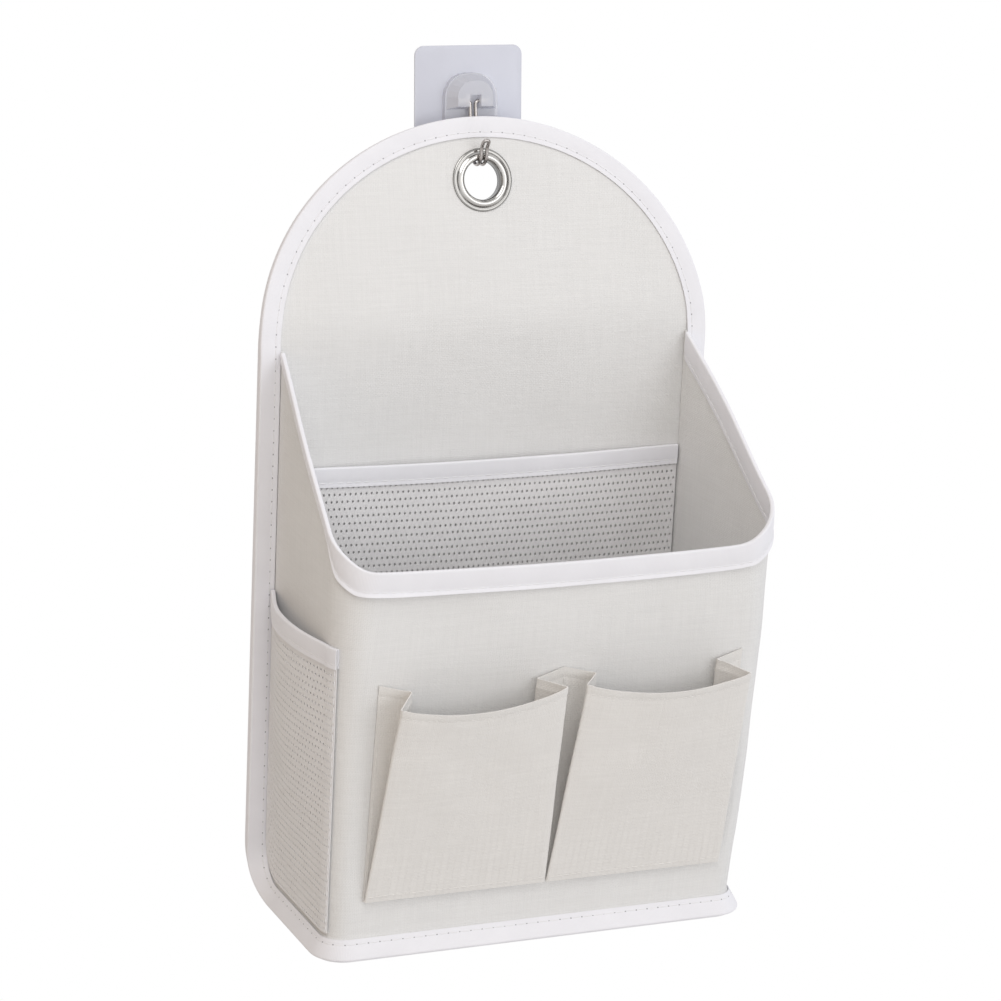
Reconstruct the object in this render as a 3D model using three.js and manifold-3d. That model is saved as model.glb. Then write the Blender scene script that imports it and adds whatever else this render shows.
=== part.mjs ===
// Hanging organizer: a stiff cloth bin with a tall arched back panel. A metal eyelet in the arch
// hangs on the double wire of a clear stick-on hook.
// Millimetres, +Z up. The wall is the plane y = 0 and the bin's front faces -Y.
import * as THREE from "three";
import { mergeVertices } from "three/addons/utils/BufferGeometryUtils.js";
import Module from "manifold-3d";

const degrees = THREE.MathUtils.degToRad;

// Bin
const BIN_WIDTH = 200; // between the side seams
const BASE_DEPTH = 84; // back panel to front wall, at the base
const FRONT_HEIGHT = 174;
const SIDE_PEAK = 250; // height where the side rims meet the back panel and its arch starts
const ARCH_RISE = 102; // from there to the top of the arch, measured along the panel
const RIM_FLARE = 17; // how far the front rim stands out past the base
const RIM_SPREAD = 5.5; // how far each side of the front rim stands out
const RIM_SWING = 1; // how much the slanted rim swells above and dips below a straight cut
const SIDE_BULGE = 1;
const BASE_CORNER = 9; // corner radii of the wall, seen from above
const RIM_CORNER = 18;
const BOTTOM_BEND = 19; // radius of the fold from back to base
const CREASE_LENGTH = 19; // the arch bends back over this much, from the side rims' peak up

// Seams and tapes
const SEAM_FLANGE = 10.5; // seam line to the outer edge of the tape
const SEAM_TAPE_WIDTH = 9.5;
const RIM_TAPE_WIDTH = 10.3;
const RIM_TAPE_END = 2.3; // its ends stop this far off the panel, clear of the seam tape
const POCKET_TAPE_WIDTH = 8.5;
const SKIRT_ANGLE = degrees(60); // the base's seam points this far below level

// Hang
const PEAK_REACH = 24.4; // how far the side rims' peak tips forward of the heel
const ARCH_SETBACK = 7.9; // how far the arch leans back to the hook, from its crease to the eyelet
const WALL_GAP = 0.3;

// Sheet goods
const CLOTH = 0.5;
const TAPE = 0.5;
const BOARD = 0.9;
const NET = 0.6;
const PLY_GAP = 0.25; // between plies that touch on the real bin
const BOARD_INSET = 3;
const BOARD_HEEL = 8; // bare stretch of panel beside the bottom bend

// Inner net pocket
const INNER_POCKET_TOP = 195;
const INNER_POCKET_FOOT = 24;
const INNER_POCKET_INSET = 0.9;
const INNER_SLACK = 7;
const INNER_COLUMNS = 12;
const INNER_ROWS = 9;

// Side net pockets
const SIDE_POCKET_TOP = 139;
const SIDE_POCKET_CLEARANCE = 2.4; // between the net's edge and the panel
const SIDE_POCKET_CORNER_SHARE = 0.35; // how far round the front corner the net is sewn
const SIDE_SLACK = 6.5;
const SIDE_COLUMNS = 4; // between the bottom bend and the front corner
const SIDE_ROWS = 7;
const STRAND = 3.2;

// Front pockets
const STRIP_HALF = 88;
const STRIP_FOOT = 18;
const STRIP_HEIGHT = 102;
const STRIP_SAG = 5;
const STRIP_ROWS = 7;
const PLEAT = 14; // depth of the gusset's fold along the wall
const MOUTH = 16.5; // how far a pocket's corners stand off the wall
const MOUTH_SWELL = 3.5;
const MOUTH_INSET = 5; // the pocket's front corners lie inside its seams by this
const PLEAT_GAP = 0.35; // between the layers of a pleat

// Eyelet
const EYELET_DROP = 29; // from the top of the arch to its centre
const EYELET_OUTER = 14.5;
const BORE = 9;
const BARREL_WALL = 0.7;
const EYELET_CLEARANCE = 0.5;
const EYELET_CROWN = 2.3;
const EYELET_LIP = 11.6;
const LIP_THICKNESS = 0.7;
const CROWN_SHARE = 0.4; // of the way from the bore to the rim
const SHOULDER_SHARE = 0.75;
const WASHER_OUTER = 14;
const WASHER = 0.6;
const ROUND_SEGMENTS = 32;
const PIN_SEGMENTS = 14;
const SHOULDER_STEPS = 5;

// Hook
const PAD_SIZE = 50;
const PAD = 0.7;
const PLATE_SIZE = 53;
const PLATE = 1.2;
const PLATE_CORNER = 4.5;
const BOSS_WIDTH = 26;
const BOSS_TOP = 14.1;
const BOSS_FOOT = -15.5;
const BOSS_CORNER = 11;
const BOSS_STEP = 5.2; // how proud the boss's lower part stands of the wall
const BOSS_LEDGE = 0.6;
const LEDGE_FOOT = -2.3;
const FACET_WIDTH = 17.4;
const FACET_TOP = 11;
const FACET_FOOT = -0.8;
const FACET_CORNER = 7.5;
const FACET_PROUD = 10.6;
const SLOT_MARGIN = 0.5;
const SLOT_TOP = 4.6;

// Wire
const WIRE_RADIUS = 0.95;
const STRAND_OFFSET = 1.35;
const PIVOT_PROUD = 7;
const PIVOT_RISE = 1.5;
const PIN_REACH = 6.8;
const PIN_CLEARANCE = 0.3;
const ELBOW = 1.5;
const WIRE_DROP = 28.4;
const HOOK_BEND = 5.5;
const TIP_RISE = 6; // above the centre of the hook's bend
const HANG_GAP = 0.8;
const WIRE_STEPS = 80;
const WIRE_SIDES = 6;

// Levels of the plies, measured from the panel's inner face towards the inside of the bin
const FACE_PLY = [-CLOTH, 0];
const BOARD_PLY = [-CLOTH - PLY_GAP - BOARD, -CLOTH - PLY_GAP];
const REAR_PLY = [BOARD_PLY[0] - PLY_GAP - CLOTH, BOARD_PLY[0] - PLY_GAP];
const WALL_PLY = [PLY_GAP, PLY_GAP + CLOTH];
const REAR_FACE = -REAR_PLY[0] + PLY_GAP + TAPE; // depth of the seam tape's back

const panelGap = PLY_GAP; // between the wall's edge and the panel's face
const U_END = 5; // the wall's position u runs from 0 to this, as told beside wallPoint
const halfWidth = BIN_WIDTH / 2;
const sideRun = BASE_DEPTH - BASE_CORNER - panelGap; // length of the wall's side, at its foot
const panelHeight = SIDE_PEAK + ARCH_RISE;
const seamTop = panelHeight - SEAM_FLANGE;
const seamRise = seamTop - SIDE_PEAK;
const eyeletHeight = panelHeight - EYELET_DROP;
const lean = Math.asin(PEAK_REACH / SIDE_PEAK);
const archLean = Math.asin(ARCH_SETBACK / (eyeletHeight - SIDE_PEAK - CREASE_LENGTH));
const clothFlange = SEAM_FLANGE - TAPE - PLY_GAP;
const creaseAngle = lean + archLean;
const creaseRadius = CREASE_LENGTH / creaseAngle;
const quarter = Math.PI / 2;
const baseStart = BOTTOM_BEND - BOTTOM_BEND * quarter;
const frontEdge = baseStart - (BASE_DEPTH - BOTTOM_BEND);

const wasm = await Module();
wasm.setup();

function point(x, y, z) {
  return new THREE.Vector3(x, y, z);
}

function mix(a, b, share) {
  return a + (b - a) * share;
}

function smooth(share) {
  const t = Math.min(Math.max(share, 0), 1);
  return t * t * (3 - 2 * t);
}

function steps(count) {
  return Array.from({ length: count + 1 }, (_, i) => i / count);
}

// Geometry with its faces turned out, from points and triangles that close a volume
function body(points, triangles) {
  let volume = 0;
  for (const [a, b, c] of triangles) {
    volume += points[a].dot(point(0, 0, 0).crossVectors(points[b], points[c]));
  }
  const turned = volume < 0 ? triangles.map(([a, b, c]) => [a, c, b]) : triangles;
  const geometry = new THREE.BufferGeometry();
  geometry.setAttribute(
    "position",
    new THREE.Float32BufferAttribute(points.flatMap((p) => [p.x, p.y, p.z]), 3),
  );
  geometry.setIndex(turned.flat());
  return geometry;
}

function quad(a, b, c, d) {
  return [
    [a, b, c],
    [a, c, d],
  ];
}

// Joins each section of points to the next by a strip for each of their sides. A side that runs
// against the first one is split along the other diagonal, so that both faces of a twisted ply
// crease along the same lines.
function strips(sections, ring, closed) {
  const count = sections[0].length;
  const first = sections[0][1].clone().sub(sections[0][0]);
  const triangles = [];
  for (let i = 0; i < sections.length - (ring ? 0 : 1); i++) {
    const here = i * count;
    const next = ((i + 1) % sections.length) * count;
    for (let j = 0; j < count - (closed ? 0 : 1); j++) {
      const k = (j + 1) % count;
      const corners = [here + j, here + k, next + k, next + j];
      const side = sections[0][k].clone().sub(sections[0][j]);
      if (side.dot(first) < 0) corners.push(corners.shift());
      triangles.push(...quad(...corners));
    }
  }
  return triangles;
}

// Joins a row of sections into one body; a ring also joins the last section to the first
function loft(sections, ring, capOutline) {
  const count = sections[0].length;
  const triangles = strips(sections, ring, true);
  if (!ring) {
    const cap = THREE.ShapeUtils.triangulateShape(capOutline, []);
    const turned = THREE.ShapeUtils.area(capOutline) < 0;
    const last = (sections.length - 1) * count;
    for (const [a, b, c] of cap) {
      const [p, q] = turned ? [c, b] : [b, c];
      triangles.push([a, q, p], [last + a, last + p, last + q]);
    }
  }
  return body(sections.flat(), triangles);
}

// A sheet between two grids of points, closed along its four edges
function sheet(rows, columns, at) {
  const points = [];
  for (const side of [0, 1]) {
    rows.forEach((row, i) => columns.forEach((column, j) => points.push(at(row, column, side, i, j))));
  }
  const width = columns.length;
  const far = rows.length * width;
  const triangles = [];
  for (let i = 0; i < rows.length - 1; i++) {
    for (let j = 0; j < width - 1; j++) {
      const a = i * width + j;
      triangles.push(...quad(a, a + 1, a + width + 1, a + width));
      triangles.push(...quad(far + a, far + a + width, far + a + width + 1, far + a + 1));
    }
  }
  const last = (rows.length - 1) * width;
  for (let j = 0; j < width - 1; j++) {
    triangles.push(...quad(j, far + j, far + j + 1, j + 1));
    triangles.push(...quad(last + j, last + j + 1, far + last + j + 1, far + last + j));
  }
  for (let i = 0; i < rows.length - 1; i++) {
    const a = i * width;
    const b = a + width - 1;
    triangles.push(...quad(a, a + width, far + a + width, far + a));
    triangles.push(...quad(b, far + b, far + b + width, b + width));
  }
  return body(points, triangles);
}

// A sheet as above with one gap in each cell, apart from the cells of its last row
function net(rows, columns, at, rim) {
  const points = [];
  const corner = [];
  for (const side of [0, 1]) {
    corner.push(rows.map((row) => columns.map((column) => points.push(at(row, column, side)) - 1)));
  }
  const triangles = [];
  const rings = [
    [0, 0],
    [0, 1],
    [1, 1],
    [1, 0],
  ];
  for (let i = 0; i < rows.length - 1; i++) {
    for (let j = 0; j < columns.length - 1; j++) {
      const outer = corner.map((grid) => rings.map(([a, b]) => grid[i + a][j + b]));
      if (i === rows.length - 2) {
        triangles.push(...quad(...outer[0]));
        triangles.push(...quad(...outer[1].toReversed()));
        continue;
      }
      const [low, high] = [rows[i], rows[i + 1]];
      const [left, right] = [columns[j], columns[j + 1]];
      const share = rim(low, high, left, right);
      const inner = [0, 1].map((side) =>
        rings.map(([a, b]) => {
          const row = mix(low, high, a ? 1 - share.row : share.row);
          const column = mix(left, right, b ? 1 - share.column : share.column);
          return points.push(at(row, column, side)) - 1;
        }),
      );
      for (let k = 0; k < 4; k++) {
        const m = (k + 1) % 4;
        triangles.push(...quad(outer[0][k], outer[0][m], inner[0][m], inner[0][k]));
        triangles.push(...quad(outer[1][m], outer[1][k], inner[1][k], inner[1][m]));
        triangles.push(...quad(inner[0][k], inner[0][m], inner[1][m], inner[1][k]));
      }
    }
  }
  const [near, far] = corner;
  const last = rows.length - 1;
  const end = columns.length - 1;
  for (let j = 0; j < end; j++) {
    triangles.push(...quad(near[0][j], far[0][j], far[0][j + 1], near[0][j + 1]));
    triangles.push(...quad(near[last][j], near[last][j + 1], far[last][j + 1], far[last][j]));
  }
  for (let i = 0; i < last; i++) {
    triangles.push(...quad(near[i][0], near[i + 1][0], far[i + 1][0], far[i][0]));
    triangles.push(...quad(near[i][end], far[i][end], far[i + 1][end], near[i + 1][end]));
  }
  return body(points, triangles);
}

function solidOf(geometry) {
  const plain = geometry.clone();
  plain.deleteAttribute("normal");
  plain.deleteAttribute("uv");
  const merged = mergeVertices(plain);
  return new wasm.Manifold(
    new wasm.Mesh({
      numProp: 3,
      vertProperties: merged.attributes.position.array,
      triVerts: new Uint32Array(merged.index.array),
    }),
  );
}

function geometryOf(solid) {
  const mesh = solid.getMesh();
  const geometry = new THREE.BufferGeometry();
  geometry.setAttribute("position", new THREE.BufferAttribute(mesh.vertProperties, 3));
  geometry.setIndex(new THREE.BufferAttribute(mesh.triVerts, 1));
  return geometry;
}

// The panel is one long strip: along the base from its front edge, round the bottom bend, up the
// back and over the crease. s is the distance along it and equals the height on the back, and n
// is the distance from its inner face towards the inside of the bin.
function panelFrame(s) {
  if (s < BOTTOM_BEND) {
    const turn = Math.min((BOTTOM_BEND - s) / BOTTOM_BEND, quarter);
    const run = Math.max(baseStart - s, 0);
    const y = -BOTTOM_BEND * (1 - Math.cos(turn)) - run;
    return { y, z: BOTTOM_BEND * (1 - Math.sin(turn)), turn };
  }
  const turn = Math.min(Math.max(s - SIDE_PEAK, 0) / creaseRadius, creaseAngle);
  const run = Math.max(s - SIDE_PEAK - CREASE_LENGTH, 0);
  const y = creaseRadius * (1 - Math.cos(turn)) + run * Math.sin(turn);
  const z = Math.min(s, SIDE_PEAK) + creaseRadius * Math.sin(turn) + run * Math.cos(turn);
  return { y, z, turn };
}

function panelPoint(x, s, n) {
  const { y, z, turn } = panelFrame(s);
  return point(x, y - n * Math.cos(turn), z + n * Math.sin(turn));
}

const ARCH_TURN_SHARES = [
  0, 0.034, 0.067, 0.1, 0.133, 0.2, 0.27, 0.34, 0.41, 0.49, 0.57, 0.65, 0.73, 0.81, 0.88, 0.95,
];
const SIDE_SHARES = [0.75, 0.5, 0.25];
const BEND_STEPS = 10;
const CORNER_STEPS = 4;
const BASE_STEPS = 5;

// The seam line round the left half of the panel, from the top of the arch to the corner of the
// base's front edge: x and s of each point, the way out of the panel there and, where the wall
// stands on the seam, the wall's position u above it
function leftSeam() {
  const line = [{ x: 0, s: seamTop, outX: 0, outS: 1 }];
  for (const share of ARCH_TURN_SHARES.toReversed()) {
    const [run, rise] = [Math.cos(share * quarter), Math.sin(share * quarter)];
    const out = new THREE.Vector2(-run / halfWidth, rise / seamRise).normalize();
    line.push({ x: -halfWidth * run, s: SIDE_PEAK + seamRise * rise, outX: out.x, outS: out.y });
  }
  const edge = { x: -halfWidth, outX: -1, outS: 0 };
  for (const share of SIDE_SHARES) line.push({ ...edge, s: mix(BOTTOM_BEND, SIDE_PEAK, share) });
  for (const share of steps(BEND_STEPS)) {
    const s = mix(BOTTOM_BEND, baseStart, share);
    line.push({ ...edge, s, u: (clearance) => bendPosition(share, clearance) });
  }
  for (const share of steps(BASE_STEPS).slice(1)) {
    const s = mix(baseStart, frontEdge + BASE_CORNER, share);
    line.push({ ...edge, s, u: (clearance) => mix(bendPosition(1, clearance), 1, share) });
  }
  for (const share of steps(CORNER_STEPS).slice(1)) {
    const [outX, outS] = [-Math.cos(share * quarter), -Math.sin(share * quarter)];
    const x = -halfWidth + BASE_CORNER * (1 + outX);
    line.push({ x, s: frontEdge + BASE_CORNER * (1 + outS), outX, outS, u: () => 1 + share });
  }
  return line;
}

// How far the seam's flange has turned down: not at all on the back, fully on the base. It turns
// slowly at first, so that it stays clear of the wall behind.
function foldAt(s) {
  return SKIRT_ANGLE * smooth((BOTTOM_BEND - s) / (BOTTOM_BEND - baseStart));
}

// A seam point with its directions: along the flange, away from the panel, and across it
function seamFrame({ x, s, outX, outS }) {
  const { turn } = panelFrame(s);
  const up = point(0, Math.sin(turn), Math.cos(turn));
  const inward = point(0, -Math.cos(turn), Math.sin(turn));
  const out = up.multiplyScalar(outS).add(point(outX, 0, 0));
  const fold = foldAt(s);
  const along = out.clone().multiplyScalar(Math.cos(fold)).addScaledVector(inward, -Math.sin(fold));
  const across = out.clone().multiplyScalar(Math.sin(fold)).addScaledVector(inward, Math.cos(fold));
  return { at: panelPoint(x, s, 0), along, across, fold, s };
}

const halfSeam = leftSeam();
const otherHalf = halfSeam.slice(1).toReversed().map((at) => ({
  ...at,
  x: -at.x,
  outX: -at.outX,
  u: at.u && ((clearance) => U_END - at.u(clearance)),
}));
const seam = [...halfSeam, ...otherHalf].map((at) => ({ ...seamFrame(at), u: at.u }));

function placed({ at, along, across }, a, b) {
  return at.clone().addScaledVector(along, a).addScaledVector(across, b);
}

// Where a ply's flange leaves the panel, mitred over the fold
function flangeStart(fold, n) {
  return -n * Math.tan(fold / 2);
}

function onPanel(geometry, s, n) {
  const { turn } = panelFrame(s);
  const foot = panelPoint(0, s, n);
  return geometry.clone().rotateX(Math.PI - turn).translate(foot.x, foot.y, foot.z);
}

function eyeletCutter() {
  const radius = BORE + BARREL_WALL + EYELET_CLEARANCE;
  const drill = new THREE.CylinderGeometry(radius, radius, 2 * SEAM_FLANGE, ROUND_SEGMENTS);
  return solidOf(onPanel(drill, eyeletHeight, 0));
}

// One ply of cloth for the whole panel, with the flange round it
function panelCloth([low, high]) {
  const sections = seam.map((frame) => [
    placed(frame, flangeStart(frame.fold, low), low),
    placed(frame, clothFlange, low),
    placed(frame, clothFlange, high),
    placed(frame, flangeStart(frame.fold, high), high),
  ]);
  const triangles = strips(sections, true, false);
  const count = sections.length;
  for (let i = 0; i < halfSeam.length - 1; i++) {
    const row = [i, i + 1, count - i - 1, ...(i ? [count - i] : [])];
    for (const face of [row.map((at) => at * 4), row.map((at) => at * 4 + 3).toReversed()]) {
      triangles.push(...(i ? quad(...face) : [face]));
    }
  }
  return geometryOf(solidOf(body(sections.flat(), triangles)).subtract(eyeletCutter()));
}

// A stretch of board inside the panel, from a list of seam points along its left edge
function boardSheet(rows) {
  return sheet(rows, [1, -1], ({ x, s, outX, outS }, hand, side) =>
    panelPoint(hand * (x - outX * BOARD_INSET), s - outS * BOARD_INSET, BOARD_PLY[side]),
  );
}

function backBoard() {
  const foot = { x: -halfWidth, s: BOTTOM_BEND + BOARD_HEEL, outX: -1, outS: 0 };
  const top = { x: halfSeam[1].x, s: seamTop, outX: 0, outS: 1 };
  const rows = [foot, ...halfSeam.slice(1).toReversed().filter(({ s }) => s > foot.s + BOARD_HEEL), top];
  return geometryOf(solidOf(boardSheet(rows)).subtract(eyeletCutter()));
}

function baseBoard() {
  const heel = { x: -halfWidth, s: baseStart - BOARD_HEEL, outX: -1, outS: 0 };
  return boardSheet([...halfSeam.toReversed().filter(({ s }) => s < heel.s - BOARD_HEEL / 2), heel]);
}

// The section of a tape folded over an edge: first numbers count out of the edge, from the tape's
// start to its web, and the slot for the cloth lies between low and high
function tapeOutline(start, web, low, high, lowStart = start) {
  return [
    [lowStart, low - TAPE],
    [web, low - TAPE],
    [web, high + TAPE],
    [start, high + TAPE],
    [start, high],
    [web - TAPE, high],
    [web - TAPE, low],
    [lowStart, low],
  ];
}

function tapeLoft(frames, outlineOf, ring) {
  const sections = frames.map((frame) => outlineOf(frame).map(([a, b]) => placed(frame, a, b)));
  const cap = outlineOf(frames[0]).map(([a, b]) => new THREE.Vector2(a, b));
  return loft(sections, ring, cap);
}

function seamTape() {
  const low = REAR_PLY[0] - PLY_GAP;
  const start = SEAM_FLANGE - SEAM_TAPE_WIDTH;
  return tapeLoft(
    seam,
    ({ s, fold }) => {
      const high = (s > SIDE_PEAK ? FACE_PLY[1] : WALL_PLY[1]) + PLY_GAP;
      const mitre = flangeStart(fold, low - TAPE) + PLY_GAP;
      return tapeOutline(start, SEAM_FLANGE, low, high, Math.max(start, mitre));
    },
    true,
  );
}

// The wall is one strip: left side, front and right side. u runs round it, from 0 at the back of
// the left side over 1 and 2, where the front's left corner starts and ends, to 5 at the right back.

function wallPoint(u, z) {
  if (u > U_END / 2) {
    const mirrored = wallPoint(U_END - u, z);
    return mirrored.setX(-mirrored.x);
  }
  const share = Math.min(Math.max(z / FRONT_HEIGHT, 0), 1);
  const depth = BASE_DEPTH + RIM_FLARE * share;
  const half = halfWidth + RIM_SPREAD * share;
  const radius = mix(BASE_CORNER, RIM_CORNER, share ** 3);
  if (u <= 1) {
    const bulge = SIDE_BULGE * Math.sin(Math.PI * u) ** 2 * (z / SIDE_PEAK);
    return point(-mix(halfWidth, half, u) - bulge, -mix(panelGap, depth - radius, u), z);
  }
  if (u <= 2) {
    const angle = (u - 1) * quarter;
    const x = -(half - radius) - radius * Math.cos(angle);
    return point(x, -(depth - radius) - radius * Math.sin(angle), z);
  }
  return point(-(half - radius) * (1 - 2 * (u - 2)), -depth, z);
}

// Height of the line that keeps clear of the panel round its bottom bend
function clearHeight(u, clearance) {
  const run = panelGap + Math.min(u, U_END - u) * sideRun;
  const radius = BOTTOM_BEND - clearance;
  if (run >= BOTTOM_BEND) return clearance;
  return BOTTOM_BEND - Math.sqrt(Math.max(radius ** 2 - (BOTTOM_BEND - run) ** 2, 0));
}

// u where that line has gone through a share of the bend's quarter turn
function bendPosition(share, clearance) {
  const run = clearance + (BOTTOM_BEND - clearance) * (1 - Math.cos(share * quarter));
  return (run - panelGap) / sideRun;
}

// Height of the rim: a long S from the side's peak down to the front
function rimHeight(u) {
  const side = BASE_DEPTH + RIM_FLARE - RIM_CORNER;
  const corner = RIM_CORNER * quarter;
  const v = Math.min(u, U_END - u, 2);
  const q = (Math.min(v, 1) * side + Math.max(v - 1, 0) * corner) / (side + corner);
  return SIDE_PEAK - (SIDE_PEAK - FRONT_HEIGHT) * q + RIM_SWING * Math.sin(2 * Math.PI * q);
}

const U_STEP_SHARE = 0.002;
const Z_STEP_SHARE = 0.002;

function wallNormal(u, z) {
  const [before, after] = [Math.max(u - U_STEP_SHARE, 0), Math.min(u + U_STEP_SHARE, U_END)];
  const around = wallPoint(after, z).sub(wallPoint(before, z));
  const rise = FRONT_HEIGHT * Z_STEP_SHARE;
  const up = wallPoint(u, z).sub(wallPoint(u, z - rise));
  return around.cross(up).normalize();
}

function offWall(u, z, out) {
  return wallPoint(u, z).addScaledVector(wallNormal(u, z), out);
}

// Height of the rim tape's lower edge, which keeps the tape's width square to the slanted rim
function rimTapeFoot(u) {
  const [before, after] = [Math.max(u - U_STEP_SHARE, 0), Math.min(u + U_STEP_SHARE, U_END)];
  const drop = rimHeight(after) - rimHeight(before);
  const run = wallPoint(after, FRONT_HEIGHT).distanceTo(wallPoint(before, FRONT_HEIGHT));
  return rimHeight(u) - RIM_TAPE_WIDTH * Math.hypot(1, drop / run);
}

const WALL_ROWS = 7;

// The wall's cloth turns out at its foot and at its back edges, where it is sewn between the
// panel and the tape
function wallCloth() {
  const stations = seam.filter(({ u }) => u);
  const heights = [...steps(WALL_ROWS), null];
  const grids = WALL_PLY.map((level, side) =>
    heights.map((share) =>
      stations.map(({ fold, u: position }) => {
        const clearance = (level - side * CLOTH * Math.sin(fold)) / Math.cos(fold);
        const u = position(clearance);
        const foot = clearHeight(u, clearance);
        return offWall(u, share === null ? rimHeight(u) : mix(foot, rimTapeFoot(u), share), side * CLOTH);
      }),
    ),
  );
  const last = heights.length - 1;
  const end = stations.length - 1;
  const edge = heights.keys().toArray().slice(1);
  const backFrame = (i, j) => {
    const { x, z } = grids[0][i][j];
    const hand = Math.sign(x);
    return seamFrame({ x: hand * halfWidth, s: z, outX: hand, outS: 0 });
  };
  const rim = [
    ...edge.toReversed().map((i) => [i, 0, backFrame(i, 0)]),
    ...stations.map((frame, j) => [0, j, frame]),
    ...edge.map((i) => [i, end, backFrame(i, end)]),
  ];
  const sections = rim.map(([i, j, frame]) => [
    grids[0][i][j],
    placed(frame, clothFlange, WALL_PLY[0]),
    placed(frame, clothFlange, WALL_PLY[1]),
    grids[1][i][j],
  ]);
  const index = new Map();
  const points = [];
  const at = (p) => index.get(p) ?? index.set(p, points.push(p) - 1).get(p);
  const flat = sections.flat();
  const triangles = strips(sections, false, false).map((corners) => corners.map((k) => at(flat[k])));
  for (let i = 0; i < last; i++) {
    for (let j = 0; j < end; j++) {
      const cell = grids.map((grid) => [grid[i][j], grid[i][j + 1], grid[i + 1][j + 1], grid[i + 1][j]]);
      const [inner, outer] = cell.map((corners) => corners.map(at));
      triangles.push(...quad(...inner));
      triangles.push([outer[0], outer[2], outer[1]], [outer[0], outer[3], outer[2]]);
    }
  }
  for (let j = 0; j < end; j++) {
    const top = [grids[0][last][j], grids[0][last][j + 1], grids[1][last][j + 1], grids[1][last][j]];
    triangles.push(...quad(...top.map(at)));
  }
  triangles.push(...quad(...sections[0].map(at).toReversed()));
  triangles.push(...quad(...sections.at(-1).map(at)));
  return body(points, triangles);
}

// A tape folded over the top of a sheet, given the sheet's middle at its top and at the tape's
// foot, and the way out of the sheet
function edgeTape(tops, feet, normals, thickness) {
  const slot = thickness / 2 + PLY_GAP;
  const frames = tops.map((at, i) => {
    const reach = at.clone().sub(feet[i]);
    return { at, reach: reach.length(), along: reach.normalize(), across: normals[i] };
  });
  return tapeLoft(frames, ({ reach }) => tapeOutline(-reach, edgeTop, -slot, slot), false);
}

const edgeTop = PLY_GAP + TAPE; // a tape's top stands this far over its sheet

function rimTape() {
  const start = (RIM_TAPE_END - panelGap) / (BASE_DEPTH + RIM_FLARE - RIM_CORNER);
  const along = seam.filter(({ u }) => u).map(({ u }) => u(panelGap));
  const columns = [start, ...along.filter((u) => Math.min(u, U_END - u) > 2 * start), U_END - start];
  return edgeTape(
    columns.map((u) => offWall(u, rimHeight(u), CLOTH / 2)),
    columns.map((u) => offWall(u, rimTapeFoot(u), CLOTH / 2)),
    columns.map((u) => wallNormal(u, rimHeight(u))),
    CLOTH,
  );
}

// Shares of a net's height up to its tape, which covers a plain band; the last row is its top
function netRows(count, height) {
  return [...steps(count).map((share) => share * bandShare(height)), 1];
}

function bandShare(height) {
  return 1 - POCKET_TAPE_WIDTH / height;
}

const netLift = 2 * PLY_GAP + TAPE; // a net keeps this far off its cloth, so that its tape fits between
const innerHalf = halfWidth - INNER_POCKET_INSET;
const innerHeight = INNER_POCKET_TOP - edgeTop - INNER_POCKET_FOOT;

function innerNetPoint(u, v, out) {
  const slack = INNER_SLACK * Math.sin(Math.PI * u) * smooth(v / bandShare(innerHeight));
  const s = INNER_POCKET_FOOT + v * innerHeight;
  return panelPoint(mix(-innerHalf, innerHalf, u), s, netLift + slack + out);
}

function innerNet() {
  const rows = netRows(INNER_ROWS, innerHeight);
  return net(
    rows,
    steps(INNER_COLUMNS),
    (v, u, side) => innerNetPoint(u, v, side * NET),
    (low, high, left, right) => ({
      row: STRAND / 2 / ((high - low) * innerHeight),
      column: STRAND / 2 / ((right - left) * 2 * innerHalf),
    }),
  );
}

function innerTape() {
  const columns = steps(INNER_COLUMNS);
  return edgeTape(
    columns.map((u) => innerNetPoint(u, 1, NET / 2)),
    columns.map((u) => innerNetPoint(u, bandShare(innerHeight), NET / 2)),
    columns.map(() => point(0, -1, 0)),
    NET,
  );
}

const sideHeight = SIDE_POCKET_TOP - edgeTop;

function sidePocketColumns() {
  const bend = [0, 1 / 2, 1].map((share) => bendPosition(share, SIDE_POCKET_CLEARANCE));
  const side = steps(SIDE_COLUMNS).map((share) => mix(bend.at(-1), 1, share));
  return [...bend, ...side.slice(1), 1 + SIDE_POCKET_CORNER_SHARE];
}

function sideNetPoint(u, v, out) {
  const columns = sidePocketColumns();
  const share = (u - columns[0]) / (columns.at(-1) - columns[0]);
  const slack = SIDE_SLACK * Math.sin(Math.PI * share) * smooth(v / bandShare(sideHeight));
  const z = mix(clearHeight(u, SIDE_POCKET_CLEARANCE), SIDE_POCKET_TOP - edgeTop, v);
  return offWall(u, z, CLOTH + netLift + slack + out);
}

const NARROW_SHARE = 0.3; // of a narrow cell, on each side of its gap

function sideNet() {
  return net(
    netRows(SIDE_ROWS, sideHeight),
    sidePocketColumns(),
    (v, u, side) => sideNetPoint(u, v, side * NET),
    (low, high, left, right) => ({
      row: STRAND / 2 / ((high - low) * sideHeight),
      column: Math.min(STRAND / 2 / ((right - left) * sideRun), NARROW_SHARE),
    }),
  );
}

function sideTape() {
  const columns = sidePocketColumns();
  return edgeTape(
    columns.map((u) => sideNetPoint(u, 1, NET / 2)),
    columns.map((u) => sideNetPoint(u, bandShare(sideHeight), NET / 2)),
    columns.map((u) => wallNormal(u, SIDE_POCKET_TOP)),
    NET,
  );
}

function mirrored(geometry) {
  const copy = geometry.clone().scale(-1, 1, 1);
  const index = copy.index.array;
  for (let i = 0; i < index.length; i += 3) {
    [index[i + 1], index[i + 2]] = [index[i + 2], index[i + 1]];
  }
  return copy;
}

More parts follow.
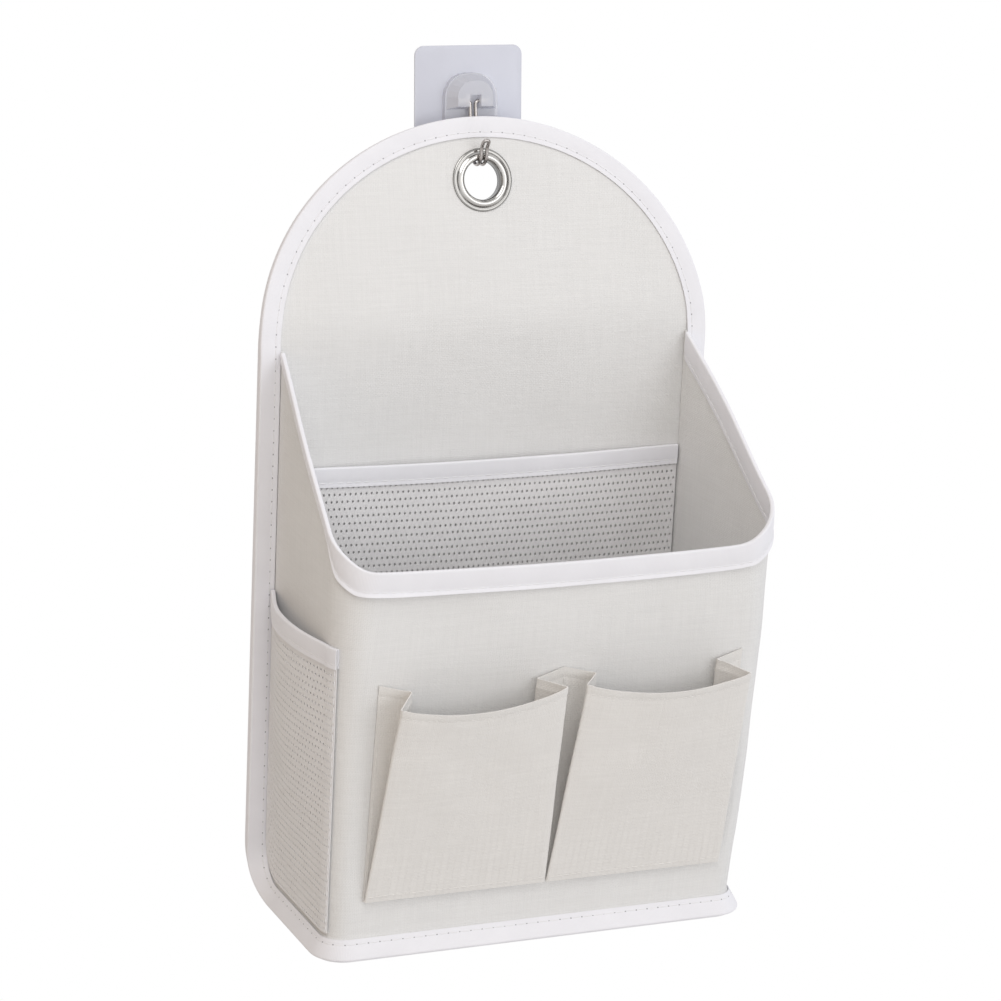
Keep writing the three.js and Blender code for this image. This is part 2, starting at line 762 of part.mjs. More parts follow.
// The front pockets are one strip, pleated at both sides of each pocket. Each point of its outline
// is given as [x, distance off the wall] at the foot, where the pleats lie flat, and at the mouth,
// where they stand open, with the share that it takes of the mouth's sag and swell.
const LAYER = CLOTH + PLEAT_GAP; // from one layer of a pleat to the next
const nearWall = PLY_GAP + CLOTH / 2;
const SWELL_SHARES = [
  { place: 0.22, swell: 0.8 },
  { place: 0.5, swell: 1 },
];

function pleatPoints() {
  const seamX = -STRIP_HALF;
  const foldX = seamX + PLEAT;
  const cornerX = seamX + MOUTH_INSET;
  const top = nearWall + 2 * LAYER;
  const outer = [
    { foot: [seamX, nearWall], mouth: [seamX, nearWall] },
    { foot: [foldX, nearWall], mouth: [foldX + LAYER / 2, nearWall + 3 * LAYER] },
    { foot: [foldX + LAYER / 2, nearWall + LAYER / 2], mouth: [foldX + LAYER, nearWall + 4 * LAYER] },
    { foot: [foldX, nearWall + LAYER], mouth: [foldX + LAYER / 2, nearWall + 5 * LAYER] },
    { foot: [seamX + LAYER, nearWall + LAYER], mouth: [cornerX, MOUTH - LAYER] },
    { foot: [seamX + LAYER / 2, top - LAYER / 2], mouth: [cornerX, MOUTH] },
    { foot: [seamX + LAYER, top], mouth: [cornerX + LAYER, MOUTH + LAYER / 2] },
    ...SWELL_SHARES.map(({ place, swell }) => ({
      foot: [mix(seamX, 0, place), top],
      mouth: [mix(seamX, 0, place), MOUTH + swell * MOUTH_SWELL],
      swell,
    })),
  ];
  const left = [...outer, ...reflected(outer, seamX / 2)];
  return [...left, ...reflected(left, 0)];
}

// The same points beyond a line of symmetry at x, which the last of them lies on
function reflected(points, x) {
  return points.slice(0, -1).toReversed().map(({ foot, mouth, swell }) => ({
    foot: [2 * x - foot[0], foot[1]],
    mouth: [2 * x - mouth[0], mouth[1]],
    swell,
  }));
}

function frontPockets() {
  const outline = pleatPoints();
  const rows = steps(STRIP_ROWS);
  const plans = rows.map((share) =>
    outline.map(({ foot, mouth }) => {
      const [x, off] = foot.map((value, i) => mix(value, mouth[i], share));
      return new THREE.Vector2(x, off);
    }),
  );
  return sheet(rows, outline.keys().toArray(), (share, j, side, i) => {
    const { x, y: off } = beside(plans[i], j, (side - 1 / 2) * CLOTH);
    const sag = STRIP_SAG * (outline[j].swell ?? 0);
    const z = STRIP_FOOT + share * (STRIP_HEIGHT - sag);
    return point(x, wallPoint(U_END / 2, z).y - CLOTH - off, z);
  });
}

// A point of a line moved square to it, mitred where the line turns
function beside(line, j, offset) {
  const here = line[j];
  const before = here.clone().sub(line[Math.max(j - 1, 0)]).normalize();
  const after = line[Math.min(j + 1, line.length - 1)].clone().sub(here).normalize();
  const run = before.clone().add(after).normalize();
  const reach = offset / Math.max(run.dot(before), run.dot(after));
  return new THREE.Vector2(here.x + run.y * reach, here.y - run.x * reach);
}

// A ring about the y axis, from the points of its section
function closedLathe(outline) {
  const points = [...outline, outline[0]].map(([r, n]) => new THREE.Vector2(r, n));
  return new THREE.LatheGeometry(points.toReversed(), ROUND_SEGMENTS);
}

// Both rings turn about the panel's normal; n counts from the panel's inner face
const washerFace = -REAR_PLY[0] + PLY_GAP;
const boreFront = EYELET_CROWN - 2 * BARREL_WALL;
const boreBack = -washerFace - WASHER - PLY_GAP;

function eyeletFront() {
  const outside = BORE + BARREL_WALL;
  return closedLathe([
    [BORE, boreBack],
    [BORE, boreFront],
    [outside, EYELET_CROWN - BARREL_WALL / 2],
    [mix(BORE, EYELET_OUTER, CROWN_SHARE), EYELET_CROWN],
    [mix(BORE, EYELET_OUTER, SHOULDER_SHARE), EYELET_CROWN - BARREL_WALL],
    [EYELET_OUTER, PLY_GAP + LIP_THICKNESS],
    [EYELET_OUTER, PLY_GAP],
    [outside, PLY_GAP],
    [outside, boreBack],
    [EYELET_LIP, boreBack],
    [EYELET_LIP, boreBack - LIP_THICKNESS],
    [outside, boreBack - LIP_THICKNESS - BARREL_WALL / 3],
  ]);
}

function eyeletWasher() {
  const inside = BORE + BARREL_WALL + PLY_GAP;
  return closedLathe([
    [inside, -washerFace],
    [WASHER_OUTER, -washerFace],
    [WASHER_OUTER, -washerFace - WASHER / 2],
    [mix(inside, WASHER_OUTER, SHOULDER_SHARE), -washerFace - WASHER],
    [inside, -washerFace - WASHER],
  ]);
}

// A flat piece of the hook, drawn as seen from the front and as thick as given, its back at y
function frontPlate(shape, thickness, back) {
  const depth = { depth: thickness, bevelEnabled: false, curveSegments: SHOULDER_STEPS };
  return new THREE.ExtrudeGeometry(shape, depth).rotateX(quarter).translate(0, back, 0);
}

function roundedSquare(size, corner) {
  const shape = new THREE.Shape();
  const h = size / 2;
  shape.moveTo(-h + corner, -h);
  shape.lineTo(h - corner, -h);
  shape.absarc(h - corner, -h + corner, corner, -quarter, 0);
  shape.absarc(h - corner, h - corner, corner, 0, quarter);
  shape.absarc(-h + corner, h - corner, corner, quarter, 2 * quarter);
  shape.absarc(-h + corner, -h + corner, corner, 2 * quarter, 3 * quarter);
  return shape;
}

// A square foot and round shoulders, as points in the plane of the wall at depth y
function tombstone(width, top, foot, corner, y) {
  const h = width / 2;
  const left = steps(SHOULDER_STEPS).map((share) => {
    const angle = share * quarter;
    return point(-h + corner * (1 - Math.cos(angle)), y, top - corner * (1 - Math.sin(angle)));
  });
  const right = left.toReversed().map(({ x, z }) => point(-x, y, z));
  return [point(-h, y, foot), ...left, ...right, point(h, y, foot)];
}

function hookBoss() {
  const capOf = (points) => points.map(({ x, z }) => new THREE.Vector2(x, z));
  const inner = BOSS_WIDTH - 2 * BOSS_LEDGE;
  const sections = [
    tombstone(BOSS_WIDTH, BOSS_TOP, BOSS_FOOT, BOSS_CORNER, -(PAD + PLATE)),
    tombstone(BOSS_WIDTH, BOSS_TOP, BOSS_FOOT, BOSS_CORNER, -BOSS_STEP),
    tombstone(inner, BOSS_TOP - BOSS_LEDGE, LEDGE_FOOT, BOSS_CORNER - BOSS_LEDGE, -BOSS_STEP),
    tombstone(FACET_WIDTH, FACET_TOP, FACET_FOOT, FACET_CORNER, -FACET_PROUD),
  ];
  const block = solidOf(loft(sections, false, capOf(sections[0])));
  const slotHalf = STRAND_OFFSET + WIRE_RADIUS + SLOT_MARGIN;
  const slotBack = -PIVOT_PROUD + WIRE_RADIUS + SLOT_MARGIN;
  const slotHeight = SLOT_TOP - BOSS_FOOT;
  const slot = new THREE.BoxGeometry(2 * slotHalf, FACET_PROUD, slotHeight).translate(
    0,
    slotBack - FACET_PROUD / 2,
    SLOT_TOP - slotHeight / 2,
  );
  const boreRadius = WIRE_RADIUS + PIN_CLEARANCE;
  const boreLength = 2 * (PIN_REACH + PIN_CLEARANCE);
  const bore = new THREE.CylinderGeometry(boreRadius, boreRadius, boreLength, PIN_SEGMENTS)
    .rotateZ(quarter)
    .translate(0, -PIVOT_PROUD, PIVOT_RISE);
  return geometryOf(block.subtract(solidOf(slot)).subtract(solidOf(bore)));
}

// The bin hangs so that its heel meets the wall and the top of its eyelet's bore rests on the
// hook's bend, square to it
const tapeBack = seam.flatMap((frame) => [0, SEAM_FLANGE].map((a) => placed(frame, a, -REAR_FACE)));
const heelDepth = Math.max(...tapeBack.map((at) => at.applyAxisAngle(point(1, 0, 0), lean).y));
const hangReach = Math.sqrt((BORE - WIRE_RADIUS - HANG_GAP) ** 2 - STRAND_OFFSET ** 2);
const bendLow = PIVOT_RISE - WIRE_DROP;
const boreMiddle = panelPoint(0, eyeletHeight, (boreFront + boreBack) / 2);
boreMiddle.applyAxisAngle(point(1, 0, 0), lean);
const boreHeight = bendLow + HOOK_BEND - (HOOK_BEND + hangReach) * Math.cos(archLean);
const binPlace = point(0, -heelDepth - WALL_GAP, boreHeight - boreMiddle.z);
const bendY = boreMiddle.y + binPlace.y + (HOOK_BEND + hangReach) * Math.sin(archLean);

// An arc about a centre, from one radius towards another at right angles to it
class Arc extends THREE.Curve {
  constructor(centre, start, side, turn) {
    super();
    Object.assign(this, { centre, start, side, turn });
  }

  getPoint(share) {
    const angle = share * this.turn;
    const at = this.centre.clone().addScaledVector(this.start, Math.cos(angle));
    return at.addScaledVector(this.side, Math.sin(angle));
  }
}

// One wire bent double: its two ends are the pins in the boss, and its fold is the hook's tip.
// The right half of its centreline runs from the pin to the middle of the fold.
function wirePath() {
  const knee = point(STRAND_OFFSET + ELBOW, -PIVOT_PROUD, PIVOT_RISE - ELBOW);
  const elbow = new Arc(knee, point(0, 0, ELBOW), point(-ELBOW, 0, 0), quarter);
  const centre = point(STRAND_OFFSET, bendY, bendLow + HOOK_BEND);
  const bend = new Arc(centre, point(0, HOOK_BEND, 0), point(0, 0, -HOOK_BEND), 2 * quarter);
  const foldCentre = point(0, bendY - HOOK_BEND, bendLow + HOOK_BEND + TIP_RISE);
  const fold = new Arc(foldCentre, point(STRAND_OFFSET, 0, 0), point(0, 0, STRAND_OFFSET), quarter);
  const [kneeEnd, bendStart] = [elbow.getPoint(1), bend.getPoint(0)];
  const slack = (kneeEnd.z - bendStart.z) / 3;
  const half = new THREE.CurvePath();
  half.add(new THREE.LineCurve3(point(PIN_REACH, -PIVOT_PROUD, PIVOT_RISE), elbow.getPoint(0)));
  half.add(elbow);
  half.add(
    new THREE.CubicBezierCurve3(
      kneeEnd,
      kneeEnd.clone().add(point(0, 0, -slack)),
      bendStart.clone().add(point(0, 0, slack)),
      bendStart,
    ),
  );
  half.add(bend);
  half.add(new THREE.LineCurve3(bend.getPoint(1), fold.getPoint(0)));
  half.add(fold);
  const right = half.getSpacedPoints(WIRE_STEPS / 2);
  const left = right.slice(0, -1).toReversed().map(({ x, y, z }) => point(-x, y, z));
  return new THREE.CatmullRomCurve3([...right, ...left]);
}

function wireHook() {
  const corners = Array.from({ length: WIRE_SIDES }, (_, i) => {
    const angle = (4 * quarter * i) / WIRE_SIDES;
    return new THREE.Vector2(WIRE_RADIUS * Math.cos(angle), WIRE_RADIUS * Math.sin(angle));
  });
  const along = { steps: WIRE_STEPS, extrudePath: wirePath(), bevelEnabled: false };
  return new THREE.ExtrudeGeometry(new THREE.Shape(corners), along);
}

const linen = { color: 0xdedbd5, roughness: 0.9, metalness: 0 };
const cream = { color: 0xdbd4c9, roughness: 0.9, metalness: 0 };
const white = { color: 0xe8e8ee, roughness: 0.8, metalness: 0 };
const board = { color: 0xd9d6cc, roughness: 0.6, metalness: 0 };
const nickel = { color: 0xc9c9cb, roughness: 0.15, metalness: 1 };
const clear = { color: 0xc8d0da, roughness: 0.08, metalness: 0, transparent: true, opacity: 0.35 };
const film = { color: 0xdfe3e8, roughness: 0.3, metalness: 0, transparent: true, opacity: 0.5 };

function piece(name, geometry, finish) {
  const mesh = new THREE.Mesh(geometry, new THREE.MeshStandardMaterial(finish));
  mesh.name = name;
  return mesh;
}

function hook() {
  const parts = new THREE.Group();
  parts.add(piece("adhesive_pad", frontPlate(roundedSquare(PAD_SIZE, PLATE_CORNER), PAD, 0), film));
  const plate = frontPlate(roundedSquare(PLATE_SIZE, PLATE_CORNER), PLATE, -PAD);
  parts.add(piece("hook_plate", plate, clear));
  parts.add(piece("hook_boss", hookBoss(), clear));
  parts.add(piece("wire_hook", wireHook(), nickel));
  return parts;
}

function bin() {
  const parts = new THREE.Group();
  const [net, netTape] = [sideNet(), sideTape()];
  parts.add(piece("panel_face_cloth", panelCloth(FACE_PLY), linen));
  parts.add(piece("panel_rear_cloth", panelCloth(REAR_PLY), linen));
  parts.add(piece("back_board", backBoard(), board));
  parts.add(piece("base_board", baseBoard(), board));
  parts.add(piece("wall_cloth", wallCloth(), linen));
  parts.add(piece("seam_binding", seamTape(), white));
  parts.add(piece("rim_binding", rimTape(), white));
  parts.add(piece("inner_mesh", innerNet(), white));
  parts.add(piece("inner_mesh_binding", innerTape(), white));
  parts.add(piece("left_mesh", net, white));
  parts.add(piece("left_mesh_binding", netTape, white));
  parts.add(piece("right_mesh", mirrored(net), white));
  parts.add(piece("right_mesh_binding", mirrored(netTape), white));
  parts.add(piece("front_pocket_strip", frontPockets(), cream));
  parts.add(piece("eyelet_front", onPanel(eyeletFront(), eyeletHeight, 0), nickel));
  parts.add(piece("eyelet_washer", onPanel(eyeletWasher(), eyeletHeight, 0), nickel));
  parts.rotation.x = lean;
  parts.position.copy(binPlace);
  return parts;
}

const organizer = new THREE.Group();
organizer.add(hook(), bin());

export default organizer;
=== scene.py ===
# %% [markdown]
# # A hanging organizer, dressed cell by cell
#
# The object is a stiff cloth bin that hangs from an eyelet on a clear stick-on hook. Its solid
# parts are already made, so this script loads them as a fixed frame and lays finer pieces over
# them: cloth with a weave, nets with real holes, folded tapes, stitches, and metal and clear
# plastic. Every cell below makes one piece or one finish, and prints what it made.

# %% Load the frame
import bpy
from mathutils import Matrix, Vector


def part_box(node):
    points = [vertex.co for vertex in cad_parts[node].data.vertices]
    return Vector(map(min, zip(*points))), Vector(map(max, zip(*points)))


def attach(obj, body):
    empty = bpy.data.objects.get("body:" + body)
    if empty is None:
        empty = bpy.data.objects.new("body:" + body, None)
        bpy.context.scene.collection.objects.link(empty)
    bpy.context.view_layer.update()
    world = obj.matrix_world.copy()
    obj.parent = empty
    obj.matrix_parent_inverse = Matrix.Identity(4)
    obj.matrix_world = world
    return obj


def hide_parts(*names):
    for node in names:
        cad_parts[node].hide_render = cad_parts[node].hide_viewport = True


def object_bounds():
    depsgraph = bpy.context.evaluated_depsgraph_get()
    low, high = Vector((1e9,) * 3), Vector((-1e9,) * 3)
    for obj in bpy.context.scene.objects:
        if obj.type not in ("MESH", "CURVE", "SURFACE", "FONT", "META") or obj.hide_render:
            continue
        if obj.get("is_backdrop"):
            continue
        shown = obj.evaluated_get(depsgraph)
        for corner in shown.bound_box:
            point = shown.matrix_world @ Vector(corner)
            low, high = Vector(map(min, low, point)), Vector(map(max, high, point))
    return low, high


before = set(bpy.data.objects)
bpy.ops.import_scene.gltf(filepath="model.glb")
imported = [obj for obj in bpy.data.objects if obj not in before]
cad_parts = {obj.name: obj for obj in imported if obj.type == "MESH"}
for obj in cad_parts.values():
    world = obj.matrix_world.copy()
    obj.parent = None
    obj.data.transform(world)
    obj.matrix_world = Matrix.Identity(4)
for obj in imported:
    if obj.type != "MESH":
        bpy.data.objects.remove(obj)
cad_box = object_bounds()

# %% [markdown]
# ## Numbers that the whole bin shares
#
# A sewing pattern is drawn flat and then bent, so most pieces here are described by places on
# flat cloth. The numbers are in millimetres, as a maker would write them, and only the last step
# of each piece turns them into metres.

# %% The numbers of the pattern
from math import asin, cos, degrees, hypot, pi, radians, sin, sqrt, tan
import bmesh
import bpy
import numpy as np
from mathutils import Matrix, Vector, noise

MM = 0.001
HALF_WIDTH, BASE_DEPTH, FRONT_HEIGHT, SIDE_PEAK, ARCH_RISE = 100, 84, 174, 250, 102
RIM_FLARE, RIM_SPREAD, RIM_SWING, SIDE_BULGE, RIM_KNEE, RIM_SAG = 17, 5.5, 1, 1, 2.6, 1.4
LEFT_REACH = 0.72  # share of the left corner over which the rim still falls
BASE_CORNER, RIM_CORNER, BOTTOM_BEND, CREASE_LENGTH = 9, 18, 19, 19
SEAM_FLANGE, SEAM_TAPE_WIDTH, RIM_TAPE_WIDTH, POCKET_TAPE_WIDTH = 10.5, 9.5, 10.3, 8.5
SKIRT_ANGLE = radians(60)
CLOTH, TAPE, NET, PLY_GAP = 0.5, 0.5, 0.6, 0.25
TAPE_OVER = TAPE + PLY_GAP  # how far a folded tape stands over the edge inside it
EYELET_DOWN = 29  # from the top of the arch to the middle of the eyelet
LEAN_OUT, ARCH_BACK = 24.4, 7.9  # how far the back leans out and the arch leans in again
EYELET_S = SIDE_PEAK + ARCH_RISE - EYELET_DOWN
LEAN = asin(LEAN_OUT / SIDE_PEAK)
CREASE_ANGLE = LEAN + asin(ARCH_BACK / (EYELET_S - SIDE_PEAK - CREASE_LENGTH))
CREASE_RADIUS = CREASE_LENGTH / CREASE_ANGLE
SEAM_RISE = ARCH_RISE - SEAM_FLANGE
BASE_START = BOTTOM_BEND * (1 - pi / 2)
FRONT_EDGE = BASE_START - (BASE_DEPTH - BOTTOM_BEND)
PLACE = Vector((0, -2.277, -354.87))  # the foot of the bin's back, from the wall mount's middle
print(f"the bin leans {degrees(LEAN):.2f} degrees, its arch bends back {degrees(CREASE_ANGLE):.2f}")


def mix(a, b, share):
    return a + (b - a) * share


def smooth(share):
    t = min(max(share, 0), 1)
    return t * t * (3 - 2 * t)


def shares(count):
    return [i / count for i in range(count + 1)]


def wobble(x, y, size, seed):
    """A soft random height from about -1 to 1 that changes over the given size."""
    return noise.noise(Vector((x / size, y / size, seed)))


def hang(point):
    """From the bin's own millimetres to the hanging bin in metres."""
    x, y, z = point
    turned = Vector((x, y * cos(LEAN) - z * sin(LEAN), y * sin(LEAN) + z * cos(LEAN)))
    return (turned + PLACE) * MM


def from_wall(point):
    """Pieces of the hook are already in the wall's millimetres."""
    return Vector(point) * MM


# %% [markdown]
# ## The camera
#
# The picture was taken from the left and a little above with a long lens, which keeps upright
# edges nearly parallel. A camera can be turned by hand until the outlines meet, but it is
# steadier to measure a dozen corners and solve for the angles, as was done for these numbers.
# The roll is a third of a degree: small, yet it moves the arch by two pixels.

# %% Set up the camera
AZIMUTH, ELEVATION, ROLL = radians(23.19), radians(10.39), radians(0.37)
EYE = Vector((-0.6136, -1.4745, 0.4626 - 0.3552))  # the height was solved from the bin's foot
PIXELS_FOCAL, PIXELS_WIDE = 3462.8, 1001

forward = Vector((sin(AZIMUTH) * cos(ELEVATION), cos(AZIMUTH) * cos(ELEVATION), -sin(ELEVATION)))
right = Vector((cos(AZIMUTH), -sin(AZIMUTH), 0))
up = right.cross(forward)
rolled_right = right * cos(ROLL) + up * sin(ROLL)
rolled_up = up * cos(ROLL) - right * sin(ROLL)

lens = bpy.data.cameras.new("photo_lens")
lens.sensor_width = 36
lens.lens = PIXELS_FOCAL / PIXELS_WIDE * lens.sensor_width
camera = bpy.data.objects.new("photo_camera", lens)
camera.matrix_world = Matrix.Translation(EYE) @ Matrix(
    (rolled_right, rolled_up, -forward)
).transposed().to_4x4()
bpy.context.scene.collection.objects.link(camera)
bpy.context.scene.camera = camera
print(f"lens {lens.lens:.1f} mm, eye at {tuple(round(v, 3) for v in EYE)}")

# %% [markdown]
# ## Shader sums as Python sums
#
# Node trees are hard to read as lists of links. This class holds one output socket, and its
# operators add Math nodes, so a weave can be written as a line of arithmetic. Every other node
# comes from one method, `add`, which sets the node's own options first and then its sockets.

# %% A small class for shader values
class Strand:
    """One output socket of a finish; sums on it grow the finish's node tree."""

    def __init__(self, socket):
        self.socket = socket

    def math(self, operation, *values):
        return add(self.socket.id_data, "ShaderNodeMath", {"operation": operation}, values)

    def __add__(self, other): return self.math("ADD", self, other)
    def __radd__(self, other): return self.math("ADD", other, self)
    def __sub__(self, other): return self.math("SUBTRACT", self, other)
    def __rsub__(self, other): return self.math("SUBTRACT", other, self)
    def __mul__(self, other): return self.math("MULTIPLY", self, other)
    def __rmul__(self, other): return self.math("MULTIPLY", other, self)
    def __truediv__(self, other): return self.math("DIVIDE", self, other)
    def __rtruediv__(self, other): return self.math("DIVIDE", other, self)
    def __mod__(self, other): return self.math("FLOORED_MODULO", self, other)
    def __pow__(self, other): return self.math("POWER", self, other)
    def __gt__(self, other): return self.math("GREATER_THAN", self, other)
    def __abs__(self): return self.math("ABSOLUTE", self)


def add(tree, kind, settings=None, inputs=(), output=0):
    """Any node: its settings are set first, then its sockets get values or links."""
    made = tree.nodes.new(kind)
    for name, value in (settings or {}).items():
        setattr(made, name, value)
    named = inputs.items() if isinstance(inputs, dict) else enumerate(inputs)
    for key, value in named:
        if isinstance(value, Strand):
            tree.links.new(value.socket, made.inputs[key])
        else:
            made.inputs[key].default_value = value
    return Strand(made.outputs[output])


print("shader sums ready")

# %% [markdown]
# ## The parts of a finish
#
# Every finish starts as the same shader, and then gets its colour and relief from a few shared
# parts: a mix of two colours, the place on the flat cloth, noise drawn on the cloth or through
# the solid, and bump. They could be written out for each finish, but cloth, tape and net differ
# in little more than their numbers.

# %% Parts that the finishes share
def finish(name, base, roughness, **sockets):
    """A new material with its shader's own sockets set, ready for details."""
    material = bpy.data.materials.new(name)
    material.use_nodes = True
    shader = material.node_tree.nodes["Principled BSDF"]
    values = {"Base Color": (*base, 1), "Roughness": roughness, **sockets}
    for socket, value in values.items():
        shader.inputs[socket].default_value = value
    return material, material.node_tree, shader


def plug(tree, shader, socket, value):
    tree.links.new(value.socket, shader.inputs[socket])


def blend_colours(tree, share, dark, light):
    """A colour between two, by a shader value from 0 to 1."""
    ends = [end if isinstance(end, Strand) else (*end, 1) for end in (dark, light)]
    settings = {"data_type": "RGBA", "clamp_factor": True}
    return add(tree, "ShaderNodeMix", settings, {0: share, 6: ends[0], 7: ends[1]}, output=2)


def shade_of(colour, share):
    return tuple(value * share for value in colour)


def thread_round(place):
    """The round back of one thread in each step of the place: 0 at its sides, 1 on top."""
    return 1 - (abs(place % 1 - 0.5) * 2) ** 2


def cloth_place(tree):
    """The place on the flat cloth in millimetres, as two values: across and along."""
    flat = add(tree, "ShaderNodeUVMap", {"uv_map": "flat"})
    split = add(tree, "ShaderNodeSeparateXYZ", None, {0: flat}).socket.node
    return Strand(split.outputs[0]), Strand(split.outputs[1])


def blotch(tree, across, along, wide, tall, detail=2, seed=0.0):
    """Noise from 0 to 1 whose spots are about this wide and tall on the cloth."""
    place = add(tree, "ShaderNodeCombineXYZ", None, {0: across / wide, 1: along / tall, 2: seed})
    return add(tree, "ShaderNodeTexNoise", None, {"Vector": place, "Scale": 1.0, "Detail": detail})


def speckle(tree, scale, detail):
    """Noise through the solid material, this many spots to the metre."""
    place = add(tree, "ShaderNodeTexCoord", output=3)
    inputs = {"Vector": place, "Scale": scale, "Detail": detail}
    return add(tree, "ShaderNodeTexNoise", None, inputs)


def bump(tree, height, depth_mm, strength):
    inputs = {"Strength": strength, "Distance": depth_mm * MM, "Height": height}
    return add(tree, "ShaderNodeBump", None, inputs)


print("shader helpers ready")

# %% [markdown]
# ## Linen
#
# Linen is a plain weave: each thread goes over one neighbour and under the next. Its yarn is
# uneven, so a few threads in each direction are thicker and a little darker. The pattern could
# come from a picture, but then it would blur close up. Here a checker of thread profiles makes the
# relief, which also darkens the colour between the threads as painted shade, and long thin noise
# makes the uneven yarn, all measured on the flat cloth, so the threads follow every fold.

# %% Weave the linen
THREAD_PITCH = 0.85  # millimetres from thread to thread


def linen(name, dark, light):
    fuzz = {"Sheen Weight": 0.12, "Sheen Roughness": 0.5, "Specular IOR Level": 0.25}
    material, tree, shader = finish(name, light, 0.85, **fuzz)
    across, along = cloth_place(tree)
    drift = blotch(tree, across, along, 9, 9, 1, 4.0) * 0.5
    warp, weft = across / THREAD_PITCH + drift, along / THREAD_PITCH + drift
    over = abs((warp % 2 > 1) - (weft % 2 > 1))
    relief = over * thread_round(warp) + (1 - over) * thread_round(weft)
    slub_up = blotch(tree, across, along, 1.1, 26, 2, 1.0)
    slub_across = blotch(tree, across, along, 24, 1.2, 2, 2.0)
    cloud = blotch(tree, across, along, 34, 34, 3, 3.0)
    # slubs and cloud are the yarn's own tone; the relief term is painted shade between the threads
    shade = relief * 0.14 + slub_up * 0.5 + slub_across * 0.5 + cloud * 0.35 - 0.2
    plug(tree, shader, "Base Color", blend_colours(tree, shade, dark, light))
    plug(tree, shader, "Normal", bump(tree, relief + slub_up * 0.6 + slub_across * 0.6, 0.14, 0.5))
    return material


PANEL_LINEN = linen("linen_off_white", (0.715, 0.715, 0.712), (0.84, 0.84, 0.838))
POCKET_LINEN = linen("linen_cream", (0.715, 0.70, 0.68), (0.835, 0.82, 0.80))
print("linen finishes", PANEL_LINEN.name, POCKET_LINEN.name)

# %% [markdown]
# ## Tape, net, thread and needle holes
#
# The white edging is a smooth woven tape with fine ribs across it. The nets are knitted from a
# brighter yarn, so fine that some light passes between its threads. The stitches are thread of the
# tape's white, and where the needle went through, each small hole is a dark grey disc of painted
# shade. Four recipes could be written, but they share one: ribs with round backs, with painted
# shade in the grooves between them, and a slow change of tone.

# %% Finish the tapes, nets and thread
def ribbed(name, dark, light, rib, depth, roughness, cover=1.0):
    """Cover is the share of light that the yarn stops; a fine knit lets some through."""
    fuzz = {"Sheen Weight": 0.1, "Specular IOR Level": 0.3}
    material, tree, shader = finish(name, light, roughness, Alpha=cover, **fuzz)
    across, along = cloth_place(tree)
    profile = thread_round(along / rib)
    # the blotch is the yarn's own tone; the rib profile adds painted shade in the grooves between
    # ribs
    tone_and_rib_shade = blotch(tree, across, along, 14, 14, 2, 5.0) * 0.8 + profile * 0.35 - 0.1
    plug(tree, shader, "Base Color", blend_colours(tree, tone_and_rib_shade, dark, light))
    plug(tree, shader, "Normal", bump(tree, profile, depth, 0.5))
    return material


TAPE_WHITE = ribbed("tape_white", (0.80, 0.80, 0.84), (0.875, 0.877, 0.92), 0.6, 0.06, 0.7)
NET_WHITE = ribbed(
    "net_white", (0.87, 0.865, 0.875), (0.94, 0.935, 0.945), 0.45, 0.08, 0.75, cover=0.85
)
THREAD_WHITE = ribbed("thread_white", (0.74, 0.74, 0.76), (0.88, 0.88, 0.9), 0.4, 0.05, 0.6)
# painted shade: the dark grey of the needle-hole discs stands for the shade inside each hole
NEEDLE_HOLE_SHADE = ribbed("needle_hole_painted_shade", (0.36, 0.36, 0.38), (0.46, 0.46, 0.48), 0.4, 0.02, 0.9)
print("tape, net and thread finishes ready")

# %% [markdown]
# ## Metal, clear plastic, film and board
#
# Nickel plate is nearly a mirror, so what it shows is the room: a slight unevenness in its
# roughness keeps it from looking computed, and close to the cloth its colour is darkened as
# painted shade. The hook's plate is clear plastic with a cool tint.
# Real glass shaders trace slowly, and a thin plate bends light very little, so a part of the
# light passes straight through and the rest sees a pale, glossy surface. The board inside the
# panel never shows, but it is finished as plain grey card.

# %% Finish the hard parts
def metal(name, base, roughness, spread, painted_shade_height=None):
    """Plated metal; the last argument is the height above the cloth below which painted shade
    darkens it.
    """
    material, tree, shader = finish(name, base, roughness, Metallic=1.0)
    spots = speckle(tree, 260.0, 3.0)
    plug(tree, shader, "Roughness", roughness + (spots - 0.5) * spread)
    tint = blend_colours(tree, spots, shade_of(base, 0.9), base)
    if painted_shade_height:
        height = cloth_place(tree)[1]
        # painted shade: the colour gets darker towards the cloth, at the foot and in the barrel
        tint = blend_colours(tree, height / painted_shade_height, shade_of(base, 0.22), tint)
    plug(tree, shader, "Base Color", tint)
    return material


def plastic(name, base, roughness, alpha):
    material, tree, shader = finish(name, base, roughness, Alpha=alpha, IOR=1.49)
    spots = speckle(tree, 90.0, 2.0)
    plug(tree, shader, "Base Color", blend_colours(tree, spots, shade_of(base, 0.95), base))
    plug(tree, shader, "Normal", bump(tree, spots, 0.12, 0.4))
    return material


def card(name, base):
    material, tree, shader = finish(name, base, 0.8)
    fibre = speckle(tree, 700.0, 4.0)
    plug(tree, shader, "Base Color", blend_colours(tree, fibre, shade_of(base, 0.85), base))
    return material


# the eyelet's nickel carries painted shade up to 2.1 mm above the cloth
NICKEL = metal("nickel", (0.56, 0.545, 0.525), 0.15, 0.08, painted_shade_height=2.1)
WASHER_NICKEL = metal("nickel_washer", (0.6, 0.59, 0.575), 0.16, 0.08)
WIRE_METAL = metal("plated_wire", (0.47, 0.44, 0.425), 0.22, 0.1)
CLEAR = plastic("clear_plastic", (0.68, 0.70, 0.79), 0.3, 0.86)
BOSS_CLEAR = plastic("clear_boss", (0.90, 0.91, 0.97), 0.04, 0.42)
FILM = plastic("adhesive_film", (0.84, 0.86, 0.92), 0.25, 0.45)
CARD = card("grey_card", (0.72, 0.70, 0.65))
print("hard finishes ready")

